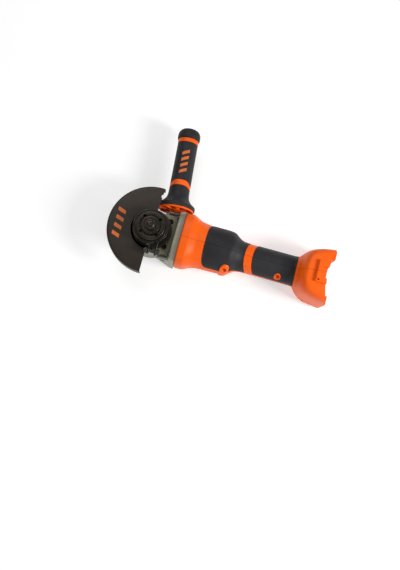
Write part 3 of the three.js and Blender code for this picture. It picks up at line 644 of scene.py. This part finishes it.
def pan_head_screw(node, axis, direction, radius, height):
    """A cross-slotted screw that points the given way, with its head at its CAD node's end."""
    low, high = span(node)
    along = "xyz".index(axis)
    across = [i for i in range(3) if i != along]
    at = (low + high) / 2
    at[along] = high[along] if direction < 0 else low[along]
    dome = [(0, 0, 0), (radius * 0.55, 0), (radius, 0.45 * height), (radius, height), (0, height, 0)]
    profile = [(point[0], direction * point[1], *point[2:]) for point in dome]
    head = turned(axis, rounded(profile, 0.3), at, sides=32)
    shank_ends = sorted((direction * height * 0.9, direction * (high - low)[along]))
    shank = rod(axis, radius * 0.48, *shank_ends, at, sides=24)
    slots = []
    half_length, half_width = radius * 0.55, radius * 0.14
    for halves in ((half_length, half_width), (half_width, half_length)):
        limits = [None, None, None]
        for i, half in zip(across, halves):
            limits[i] = (at[i] - half, at[i] + half)
        ends = (at[along] - direction, at[along] + direction * 0.6 * height)
        limits[along] = (min(ends), max(ends))
        slots.append(block(*limits))
    return cut(join(head, shank), *slots)


def gear_head():
    show("head_casting", gear_housing(), "gear_housing", smooth=60)
    show("head_cover", bearing_cover(), "bearing_cover")
    for i in range(1, len(COVER_SCREWS) + 1):
        node = f"cover_screw_{i}"
        show(f"head_cover_screw_{i}", pan_head_screw(node, "z", -1, 3.5, 2.5), node)


def lock_button():
    """A domed cap with two fine grooves for the thumb, and its pin."""
    at = (-LOCK_RADIUS, 0, 0)
    profile = [(0, -29.9, 0), (5.4, -29.9), (5.4, -31.8), (0, -32.3, 0)]
    cap = turned("z", rounded(profile, 0.6), at)
    pin = rod("z", 2, -30, span("lock_button")[1].z, at, soft=0.4)
    grooves = [
        turned("z", [(r, -33), (r + 0.5, -33), (r + 0.5, -31.9), (r, -31.9)], at) for r in (1.2, 2.6)
    ]
    return cut(join(cap, pin), *grooves)


def lock_spring():
    """A coil of round wire between the button's cap and the housing."""
    turns = 3
    steps = 32 * turns
    sides = 12
    wire = 0.45
    radius = 3.7
    low, high = SPRING_ENDS
    vertices = []
    for k in range(steps + 1):
        turn = 2 * math.pi * turns * k / steps
        out = Vector((math.cos(turn), math.sin(turn), 0))
        middle = Vector((-LOCK_RADIUS, 0, low + (high - low) * k / steps)) + out * radius
        for i in range(sides):
            angle = 2 * math.pi * i / sides
            spoke = out * math.cos(angle) + Vector((0, 0, math.sin(angle)))
            vertices.append(middle + spoke * wire)
    ends = [tuple(range(sides)), tuple(range(steps * sides, len(vertices)))]
    return solid(vertices, ends + walls(steps + 1, sides))


def spindle_lock():
    show("spindle_lock_button", lock_button(), "lock_button")
    spring = show("spindle_lock_spring", lock_spring(), "lock_spring")
    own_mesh(spring)


# ------------------------------------------------------------------ spindle and clamp parts


THREAD_RADIUS = 7
THREAD_PITCH = 2
THREAD_DEPTH = 0.9
THREAD_BORE = THREAD_RADIUS + GAP  # of the flange and the nut on the thread
PIN_CIRCLE = 15  # radius at which the spanner's holes are


def spindle():
    """The spindle from its lower bearing up, with its thread as rings and a centre in its end."""
    top = span("spindle")[1].z
    shaft, seat, shoulder = 5.9, 28.4, 33.3
    profile = [(0, -27, 0), (4, -27), (4, -14), (shaft, -14), (shaft, seat)]
    profile += [(9.5, seat), (9.5, shoulder), (THREAD_RADIUS, shoulder, 0.1)]
    thread_from = 34.5
    turns = int((top - 3.5 - thread_from) / THREAD_PITCH)
    for i in range(turns):
        crest = thread_from + i * THREAD_PITCH
        root = crest + THREAD_PITCH / 2
        profile += [(THREAD_RADIUS, crest, 0.2), (THREAD_RADIUS - THREAD_DEPTH, root, 0.2)]
    profile += [(THREAD_RADIUS, top - 3), (5.2, top - 0.8, 1.2), (3, top, 0.8)]
    profile += [(1.7, top, 0.2), (0, top - 1.8, 0)]
    return turned("z", rounded(profile, 0.4), sides=72)


def inner_flange():
    """The wheel's seat, with a collar that centres the wheel."""
    low, face, top = 33.6, 38.9, 40.7
    rim, collar = 18.8, 11.1
    profile = [(THREAD_BORE, low), (rim - 1, low), (rim, low + 1), (rim, face)]
    profile += [(collar, face), (collar, top), (THREAD_BORE, top)]
    return turned("z", rounded(profile, 0.3))


def lock_nut():
    """A round nut with a raised hub, four pin holes and a recess over the flange's collar."""
    low = span("lock_nut")[0].z
    face, hub_top = 44, 47.5
    rim, recess = 20, 11.5
    profile = [(recess, low), (rim - 0.8, low), (rim, low + 0.8, 0.4), (rim, face - 1.2)]
    profile += [(18.7, face), (14.1, face), (14.1, 42.6), (12.6, 42.6), (12.5, hub_top - 0.6)]
    profile += [(11.9, hub_top), (THREAD_BORE, hub_top), (THREAD_BORE, 41.2), (recess, 41.2)]
    nut = turned("z", rounded(profile, 0.3), sides=128)
    holes = []
    for degrees in (45, 135, 225, 315):
        angle = math.radians(degrees)
        spot = (PIN_CIRCLE * math.cos(angle), PIN_CIRCLE * math.sin(angle), 0)
        holes.append(rod("z", 2.3, 38, 50, spot, sides=32))
    return cut(nut, *holes)


def spindle_group():
    show("output_spindle", spindle(), "spindle", smooth=25)
    show("wheel_flange", inner_flange(), "inner_flange")
    show("pin_nut", lock_nut(), "lock_nut")


# ------------------------------------------------------------------ guard

GUARD_RADIUS = -span("guard_shell")[0].x
GUARD_LOW, GUARD_HIGH = 20.4, 22.0
COLLAR_INNER, COLLAR_OUTER = 20.4, 22.2
COLLAR_HIGH = span("guard_shell")[1].z
GUARD_HOLE = 25  # radius at which the dish meets the collar's foot
GUARD_FROM, GUARD_TO = 86, 270  # degrees over which the dish covers the wheel
BOLT = Vector((0, -31.6, 33.7))  # a point on the clamp screw's axis, which runs along X
BAND_LOW, BAND_HIGH = 29.4, 38


def guard_dish():
    """The sheet-metal cover: part of a dish, with a notch near the handle."""
    wall = GUARD_HIGH - GUARD_LOW
    corner = 3.5
    skirt = span("guard_shell")[0].z
    profile = [(GUARD_HOLE, GUARD_HIGH, 0.1), (GUARD_HOLE, GUARD_LOW, 0.1)]
    profile += [(GUARD_RADIUS - wall, GUARD_LOW, corner - wall), (GUARD_RADIUS - wall, skirt, 0.4)]
    profile += [(GUARD_RADIUS, skirt, 0.4), (GUARD_RADIUS, GUARD_HIGH, corner)]
    dish = turned("z", rounded(profile, 0.3, steps=6), sides=180)
    sector = prism([(0, 0), *arc(180, GUARD_FROM, GUARD_TO, steps=6)], 0, 60)
    notch = prism(rounded([(1.6, 46.5), (12, 44.5), (12, 53), (1.8, 51.5)], 1.5), 0, 60)
    return bevel(cut(common(dish, sector), notch), 0.25, segments=2, angle=60)


def guard_collar():
    """The ring that sits on the neck, with the foot that carries the dish."""
    foot = 28.4
    profile = [(COLLAR_INNER, GUARD_LOW), (foot, GUARD_LOW), (foot, GUARD_HIGH)]
    profile += [(COLLAR_OUTER, GUARD_HIGH, 1.2), (COLLAR_OUTER, COLLAR_HIGH - 0.9, 0.3)]
    profile += [(COLLAR_OUTER - 0.8, COLLAR_HIGH, 0.3), (COLLAR_INNER, COLLAR_HIGH, 0.2)]
    return turned("z", rounded(profile, 0.3), sides=128)


def guard_marks():
    """Plain slanted bars where the real guard carries a printed mark."""
    count, first, last, place = 4, 15, -19, -45
    half_width, half_length, slant = 2.6, 5.5, 0.35
    bars = []
    for i in range(count):
        middle = first + (last - first) * i / (count - 1)
        outline = []
        for a, b in ((-1, -1), (1, -1), (1, 1), (-1, 1)):
            across = b * half_length
            outline.append((place + across, middle - a * half_width - slant * across))
        bars.append(prism(rounded(outline, 0.8), GUARD_HIGH - 0.2, GUARD_HIGH + 0.06))
    return join(bars[0], *bars[1:])


def guard_band():
    """A split band round the collar, whose two ears the clamp screw draws together."""
    low, high = BAND_LOW, BAND_HIGH
    bore = COLLAR_OUTER + GAP
    rim = bore + 1.8
    ring = turned("z", rounded([(bore, low), (rim, low), (rim, high), (bore, high)], 0.4))
    near, far, thick = 6.2, 13.8, 2.2
    slit = block((near, far), (-40, -15), (low - 1, high + 1))
    ears = [block((x, x + thick), (-37, -17), (low, high), soft=0.7) for x in (near - thick, far)]
    ears = [cut(ear, rod("z", bore, 0, 60, sides=96)) for ear in ears]
    return cut(join(cut(ring, slit), *ears), rod("x", 2.7, 0, 20, BOLT))


def clamp_screw():
    """A socket-head screw through the band's ears."""
    low, high = span("clamp_screw")
    head = rod("x", 4.2, high.x - 3.6, high.x, (0, BOLT.y, BOLT.z), soft=0.7)
    shank = rod("x", 2.4, low.x, high.x - 3.5, (0, BOLT.y, BOLT.z), soft=0.4)
    hexagon = arc(2.1, 0, 300, steps=5, centre=(BOLT.y, BOLT.z))
    return cut(join(head, shank), prism(hexagon, high.x - 2.2, high.x + 1, axis="x"))


def clamp_nut():
    low, high = span("clamp_nut")
    hexagon = arc(4.5, 0, 300, steps=5, centre=(BOLT.y, BOLT.z))
    nut = bevel(prism(hexagon, low.x, high.x, axis="x"), 0.4)
    return cut(nut, rod("x", 2.7, low.x - 1, high.x + 1, (0, BOLT.y, BOLT.z)))


def guard_group():
    show("guard_dish", guard_dish(), "guard_shell")
    show("guard_collar", guard_collar(), "guard_shell", look=looks["black_steel"])
    show("guard_marks", guard_marks(), "guard_shell", look=mark_look)
    show("guard_clamp_band", guard_band(), "guard_band", look=band_look)
    show("guard_clamp_screw", clamp_screw(), "clamp_screw", look=fastener_and_pocket_shade_look)
    show("guard_clamp_nut", clamp_nut(), "clamp_nut", look=fastener_and_pocket_shade_look)


# ------------------------------------------------------------------ casing and soft panels

CASING_FRONT = FLANGE_BACK + GAP
TERMINAL_FROM, TERMINAL_END = 237, 246
TERMINAL_BLOCK = (13, -26, 30)  # half width, lowest and highest
WALL_ARC_RADIUS = 92.5  # of the hollow curve that ends the walls above WALL_ARC_LOW
WALL_ARC_X = 337.5  # place of its centre
WALL_ARC_LOW = 20
LUG_FROM, LUG_HALF, LUG_HIGH = 230, 15, 48.5  # raised block on top of the foot
RAIL_END = span("casing_left")[1].x
CHANNEL_FLOOR = 243  # place of the wall that the battery slides along
CHANNEL_HALF = 33.6
CHANNEL_HIGH = 39
RAIL_MOUTH_HALF = 26  # half the opening between the two rails' lips
RAIL_LOW = -26
LIP_DEPTH = 4
FOOT_WALL = 3.5
PANEL_DEPTH = 1.6  # of the soft panels in the casing
PANEL_PROUD = 0.4  # and out of it
GROOVE = 0.55  # between a soft panel and the casing round it
SLIDE_FLOOR = 29.7  # radius of the flat bed that the thumb slide runs on
SLIDE_ANGLE = math.radians(-25)  # of the slide round the motor axis, from the left side
slide_turn = Matrix.Rotation(SLIDE_ANGLE, 4, "X")

# A screw that closes the casing: its place along X and in height, the radius of its boss, how
# far the boss stands proud of the body, and how far out its face is from the middle plane.
Screw = namedtuple("Screw", "x z boss proud face")
CASING_SCREWS = [
    Screw(111, 17, 6.2, 2, 27.6),
    Screw(111, -17, 6.2, 2, 27.6),
    Screw(185, 13, 4.7, 0.5, 16.9),
    Screw(185, -13, 4.7, 0.5, 16.9),
    Screw(229, -21, 5.5, 0.5, 29.5),
]
POCKET_DEPTH = 8.9
POCKET_RADIUS = 3.4


def screw_clearance(screw, grow):
    """The room that a panel leaves round a screw boss."""
    return rod("y", screw.boss + GAP - grow, -60, 0, (screw.x, 0, screw.z))


def motor_panel_region(grow):
    """The motor panel from the side, with a border that is larger all round by the growth."""
    top = 50
    outline = bend((86 - grow, 11 - grow), (75.5 - grow, 13 - grow), (75 - grow, top))
    outline += [(122 + grow, top), (139.8 + grow, 3.5 - grow)]
    outline += bend((128, 3.5 - grow), (121, 11 - grow), (114, 11 - grow))
    return cut(prism(outline, -60, 60, axis="y"), screw_clearance(CASING_SCREWS[0], grow))


def grip_panel_region(grow, side):
    """The panel above or below the grip's middle, from the side."""
    border = 5 if side > 0 else 8
    far = 36
    outline = [(152.2 - grow, side * (border - grow)), (138.5 - grow, side * far)]
    outline += [(203.5 + grow, side * far), (209.6 + grow, side * (border - 3 - grow))]
    screw = CASING_SCREWS[2 if side > 0 else 3]
    return cut(prism(rounded(outline, 1.5), -60, 60, axis="y"), screw_clearance(screw, grow))


PANELS = [
    ("motor_panel", motor_panel_region),
    ("grip_panel", lambda grow: grip_panel_region(grow, 1)),
    ("palm_panel", lambda grow: grip_panel_region(grow, -1)),
]
HALVES = [("left", 1), ("right", -1)]


def half_space(side):
    """Everything on one side of the joint between the casing's halves."""
    limits = (GAP / 2, 80) if side > 0 else (-80, -GAP / 2)
    return block((0, 300), limits, (-80, 80))


def soft_panels():
    for name, region in PANELS:
        layer = cut(body_form(-PANEL_PROUD, 70, 214), body_form(PANEL_DEPTH, 60, 220))
        layer = common(layer, region(0))
        for half, side in HALVES:
            panel = common(copy_of(layer), half_space(side))
            show(f"{name}_{half}_overmould", panel, f"{name}_{half}")
        bpy.data.objects.remove(layer)


def battery_channel():
    """The room behind the rails' lips and the mouth between them."""
    depth = (CHANNEL_FLOOR, RAIL_END + 1)
    behind_lips = (CHANNEL_FLOOR, RAIL_END - LIP_DEPTH)
    channel = block(behind_lips, (-CHANNEL_HALF, CHANNEL_HALF), (-60, CHANNEL_HIGH))
    mouth = block(depth, (-RAIL_MOUTH_HALF, RAIL_MOUTH_HALF), (-60, CHANNEL_HIGH))
    inside = join(body_form(FOOT_WALL, *depth), block(depth, (-60, 60), (-60, 0)))
    return common(join(channel, mouth), inside)


def panel_grooves():
    """The beds of the soft panels, with a narrow groove round each."""
    return [cut(region(GROOVE), body_form(PANEL_DEPTH + GAP, 50, 230)) for _, region in PANELS]


def casing_rooms():
    """The hollows: for the motor and the board, behind the terminals, and for the battery."""
    front, neck, back = CASING_FRONT - 1, 131, 221
    motor_room = [(0, front), (27, front), (27, 112), (17, neck), (17, back), (0, back)]
    half_width, low, high = TERMINAL_BLOCK
    return [
        turned("x", motor_room),
        block((218.5, CHANNEL_FLOOR - 4), (-20, 20), (-17, 29)),
        battery_channel(),
        block((CHANNEL_FLOOR, RAIL_END + 1), (-60, 60), (-60, RAIL_LOW)),
        block(
            (TERMINAL_FROM - 1, 250),
            (-half_width - GAP, half_width + GAP),
            (low - GAP, high + GAP),
        ),
    ]


def motor_web():
    """The wall that holds the motor's rear bearing."""
    return cut(rod("x", 28, 103, 110), rod("x", 9.8, 100, 120))


def foot_lug():
    side = [(LUG_FROM, 40), (LUG_FROM, LUG_HIGH, 3), (250, LUG_HIGH), (250, 40)]
    return bevel(prism(rounded(side, 0, steps=8), -LUG_HALF, LUG_HALF, axis="y"), 0.9)


def casing_form():
    """Both halves of the casing in one piece."""
    outside = body_form(0, CASING_FRONT, RAIL_END, round_end=0.6)
    under = block((0, 300), (-80, 80), (-80, UNDERSIDE))
    shell = cut(outside, *panel_grooves(), *casing_rooms(), under)
    lug_recess = block((239, 260), (-7.7, 7.7), (40.6, 60), soft=0.5)
    wall_end = rod("z", WALL_ARC_RADIUS, WALL_ARC_LOW, 70, (WALL_ARC_X, 0, 0), sides=400)
    lug_hole = rod("z", 1.5, 45, 60, (234.4, -11.6, 0))
    return cut(join(shell, motor_web(), foot_lug()), lug_recess, wall_end, lug_hole)


def slide_cuts():
    """The slide's bed, the slot for its stem and the room for its switch."""
    bed = block((70, 122), (SLIDE_FLOOR, 50), (-9.5, 9.5))
    slot = block((82.4, 105.6), (20, 40), (-4.5, 4.5))
    switch_room = block((95, 120), (8, 27.2), (-4, 4))
    made = [bed, slot, switch_room]
    for tool in made:
        tool.data.transform(slide_turn)
    return made


def screw_boss(screw):
    """A round boss whose face follows the body."""
    column = rod("y", screw.boss, -60, -1, (screw.x, 0, screw.z))
    return bevel(common(column, body_form(-screw.proud, screw.x - 8, screw.x + 8)), 0.7)


def screw_pocket(screw):
    """The hole in a boss, with the screw's head at its end."""
    return rod("y", POCKET_RADIUS, -60, POCKET_DEPTH - screw.face, (screw.x, 0, screw.z))


def casing():
    form = casing_form()
    for half, side in HALVES:
        shell = common(copy_of(form), half_space(side))
        if side > 0:
            shell = cut(shell, *slide_cuts())
        else:
            shell = join(shell, *map(screw_boss, CASING_SCREWS))
            shell = cut(shell, *map(screw_pocket, CASING_SCREWS))
        show(f"shell_{half}", shell, f"casing_{half}")
    bpy.data.objects.remove(form)
    for i in range(1, len(CASING_SCREWS) + 1):
        node = f"casing_screw_{i}"
        show(f"shell_screw_{i}", pan_head_screw(node, "y", 1, 3.1, 2.1), node)


def thumb_slide():
    """The ribbed slide, built upright and then turned to its place on the casing's side."""
    under, top = SLIDE_FLOOR + 0.2, 31.6
    plate = block((80, 112), (under, top), (-8.5, 8.5), soft=0.6)
    ribs = [block((x, x + 2), (top - 0.4, 33), (-7.5, 7.5), soft=0.6) for x in range(84, 104, 4)]
    stem = block((91, 104.6), (27.6, under + 0.1), (-4, 4))
    made = join(plate, *ribs, stem)
    made.data.transform(slide_turn)
    return made


def terminal_block():
    """The block that the battery's contacts slide into, with its two slots."""
    half_width, low, high = TERMINAL_BLOCK
    body = block((TERMINAL_FROM, TERMINAL_END), (-half_width, half_width), (low, high), soft=0.8)
    slots = [block((241, 270), (y - 1.8, y + 1.8), (-30, 20)) for y in (-7, 7)]
    return cut(body, *slots)


# ------------------------------------------------------------------ side handle

RIM_RADIUS = 25  # the hand guard's rim
SLEEVE_FROM = 6.5  # the soft sleeve wraps over the rim
LOWER_RING = (39.3, 46.9)
UPPER_RING = (103.3, 108.9)
CAP_INSIDE_TO = 117
HANDLE_END = 125.7
STUD_BORE = 4.4
SLEEVE_BORE = 11.3
RING_BORE = 10.5


def flare_radius(place):
    """Radius of the soft sleeve at places along the handle."""
    places = np.array([SLEEVE_FROM, 10.9, 13.9, 17.9, 23, 28.5, 37, 45, 75, 103], float)
    radii = np.array([26.4, 26.4, 23.2, 19, 15.9, 14.9, 14.7, 14.7, 14.5, 14.4], float)
    return through_points(places, radii, np.asarray(place, float))


SLEEVE_ANGLES = 2 * math.pi * np.arange(96) / 96  # round the handle, from its upper side


def lower_ring_edges():
    """Both ends of the lower ring, which dips towards the flange at the handle's sides."""
    dip = np.sin(SLEEVE_ANGLES) ** 4
    return LOWER_RING[0] - 4 * dip, LOWER_RING[1] - 8 * dip


def sleeve(low, high, inner, proud=0.0, rows=40):
    """A tube round the handle between two ends, each a place or one place per angle."""
    lip = 0.5
    sides = len(SLEEVE_ANGLES)
    starts, ends = (np.broadcast_to(edge, SLEEVE_ANGLES.shape) for edge in (low, high))
    rings = []
    for k in range(rows + 1):
        share = (1 - math.cos(math.pi * k / rows)) / 2
        places = starts + (ends - starts) * share
        from_end = np.minimum(places - starts, ends - places)
        drop = lip * (1 - np.sqrt(1 - (1 - np.clip(from_end / lip, 0, 1)) ** 2))
        rings.append((flare_radius(places) + proud - drop, places))
    inside = np.full(sides, inner)
    rings += [(inside, ends), (inside, starts)]
    vertices = [
        (r * math.sin(a), p, r * math.cos(a))
        for radii, places in rings
        for r, p, a in zip(radii, places, SLEEVE_ANGLES)
    ]
    return solid(vertices, walls(len(rings), sides, closed=True))


def handle_core():
    """The hard core: a ribbed hand guard with a rim, and the tube under the sleeves."""
    inside_rim = RIM_RADIUS - 1.8
    tube = 11
    hub = [(STUD_BORE, 0), (6.4, 0), (6.4, 3), (9.5, 5), (9.5, 7.3), (inside_rim, 7)]
    hub += [(inside_rim, 4), (RIM_RADIUS, 4), (RIM_RADIUS, 9.2), (20, 12.3, 0)]
    hub += [(tube, 26.3, 0), (tube, UPPER_RING[1], 0)]
    hub += [(9, CAP_INSIDE_TO), (STUD_BORE, CAP_INSIDE_TO)]
    core = turned("y", rounded(hub, 0.35))
    count = 8
    ribs = []
    for i in range(count):
        rib = block((8, RIM_RADIUS - 1), (4.6, 7.4), (-0.8, 0.8))
        rib.data.transform(Matrix.Rotation(2 * math.pi * i / count, 4, "Y"))
        ribs.append(rib)
    return join(core, *ribs)


def handle_marks():
    """Plain slanted bars printed round the side of the grip that faces up."""
    printed, under = 14.68, 13.4
    half_turn, half_width, slant = 20, 2.3, 0.12
    bars = []
    for i in range(4):
        middle = 60 + 9 * i
        rows = []
        for across in np.linspace(-half_turn, half_turn, 13):
            for edge in (-half_width, half_width):
                rows.append((math.radians(across), middle + edge + slant * across))
        outer = [(printed * math.sin(a), p, printed * math.cos(a)) for a, p in rows]
        inner = [(under * math.sin(a), p, under * math.cos(a)) for a, p in rows]
        count = len(rows)
        faces = [(0, 1, count + 1, count), (count - 2, count - 1, 2 * count - 1, 2 * count - 2)]
        for k in range(0, count - 2, 2):
            faces.append((k, k + 1, k + 3, k + 2))
            faces.append((count + k, count + k + 1, count + k + 3, count + k + 2))
            faces.append((k, k + 2, count + k + 2, count + k))
            faces.append((k + 1, k + 3, count + k + 3, count + k + 1))
        bars.append(solid(outer + inner, faces))
    return join(bars[0], *bars[1:])


def handle_cap():
    """The soft knob over the core's end, hollow where the core goes in."""
    bore = 9.3
    low = UPPER_RING[1] + GAP
    inside = CAP_INSIDE_TO + GAP
    profile = [(bore, low), (15.7, low), (16.2, 113.5, 2), (15.6, 119, 2), (13, 123, 3)]
    profile += [(8.5, HANDLE_END - 0.6, 3), (0, HANDLE_END, 0)]
    profile += [(0, inside, 0), (bore, inside)]
    return turned("y", rounded(profile, 0.5, steps=6))


def side_handle():
    """The handle's pieces, built along Y and moved to its tilted place."""

    def shown(name, piece, *nodes, **options):
        return show(name, piece, *nodes, move=handle_place, **options)

    shown("handle_frame", handle_core(), "handle_core")
    low, high = lower_ring_edges()
    shown("handle_ring_lower", sleeve(low, high, RING_BORE, proud=0.1), "handle_core")
    shown("handle_ring_upper", sleeve(*UPPER_RING, RING_BORE, proud=0.3), "handle_core")
    flare = sleeve(SLEEVE_FROM, low - GAP, SLEEVE_BORE, rows=60)
    rim_room = rod("y", RIM_RADIUS + GAP, 0, 9.4, sides=96)
    shown("handle_flare_sleeve", cut(flare, rim_room), "handle_flare")
    grip = sleeve(high + GAP, UPPER_RING[0] - GAP, SLEEVE_BORE)
    shown("handle_grip_sleeve", grip, "handle_grip")
    shown("handle_marks", handle_marks(), "handle_grip", look=mark_look)
    shown("handle_cap", handle_cap(), "handle_end_cap")


# ------------------------------------------------------------------ stage


def camera():
    """Looks nearly straight down, from a little to the side away from the handle."""
    data = bpy.data.cameras.new("camera")
    data.lens = 39.16
    made = bpy.data.objects.new("camera", data)
    bpy.context.scene.collection.objects.link(made)
    made.location = crossing + Vector((75.4, -180.4, 854.9)) * MM
    made.rotation_euler = [math.radians(degrees) for degrees in (7.98, -2.80, 14.91)]
    bpy.context.scene.camera = made


def lamp(name, place, aim, size, power):
    """A rectangular lamp. Places are in metres in the frame, and the power is in watts."""
    data = bpy.data.lights.new(name, "AREA")
    data.shape = "RECTANGLE"
    data.size, data.size_y = size
    data.energy = power
    made = bpy.data.objects.new(name, data)
    bpy.context.scene.collection.objects.link(made)
    made.location = place
    made.rotation_mode = "QUATERNION"
    made.rotation_quaternion = (Vector(aim) - Vector(place)).to_track_quat("-Z", "Y")


def studio():
    """Soft light from above, and a smaller lamp that lights the foot's end."""
    lamp("key", (-0.4, 0.6, 1.1), (0, 0, 0), (0.9, 0.6), 5)
    lamp("end", (0.75, -0.15, 0.6), (0.0, 0, 0.03), (0.25, 0.35), 8)
    lamp("near", (-0.1, -0.9, 0.6), (0, 0, 0), (0.9, 0.4), 1.6)
    world = bpy.data.worlds.new("studio")
    world.use_nodes = True
    background = world.node_tree.nodes["Background"]
    background.inputs["Color"].default_value = (1, 1, 1, 1)
    background.inputs["Strength"].default_value = 0.28
    bpy.context.scene.world = world
    bpy.context.scene.view_settings.view_transform = "Standard"


def floor():
    """White paper that glows a little, so that it photographs as the photo's blank ground."""
    mesh = bpy.data.meshes.new("floor")
    half = 30  # in metres, far past the edges of every view
    corners = [(-half, -half, 0), (half, -half, 0), (half, half, 0), (-half, half, 0)]
    mesh.from_pydata(corners, [], [(0, 1, 2, 3)])
    made = bpy.data.objects.new("floor", mesh)
    bpy.context.scene.collection.objects.link(made)
    paper = bpy.data.materials.new("floor")
    paper.use_nodes = True
    shader = paper.node_tree.nodes["Principled BSDF"]
    shader.inputs["Base Color"].default_value = (0.6, 0.6, 0.6, 1)
    shader.inputs["Roughness"].default_value = 0.9
    shader.inputs["Emission Color"].default_value = (1, 1, 1, 1)
    shader.inputs["Emission Strength"].default_value = 0.5
    mesh.materials.append(paper)


# ------------------------------------------------------------------ scene

camera()
studio()
floor()
dress_cad_nodes()
gear_head()
spindle_lock()
spindle_group()
guard_group()
casing()
soft_panels()
show("thumb_switch", thumb_slide(), "thumb_slide")
show("battery_terminals", terminal_block(), "terminal_block")
side_handle()

bpy.context.view_layer.update()
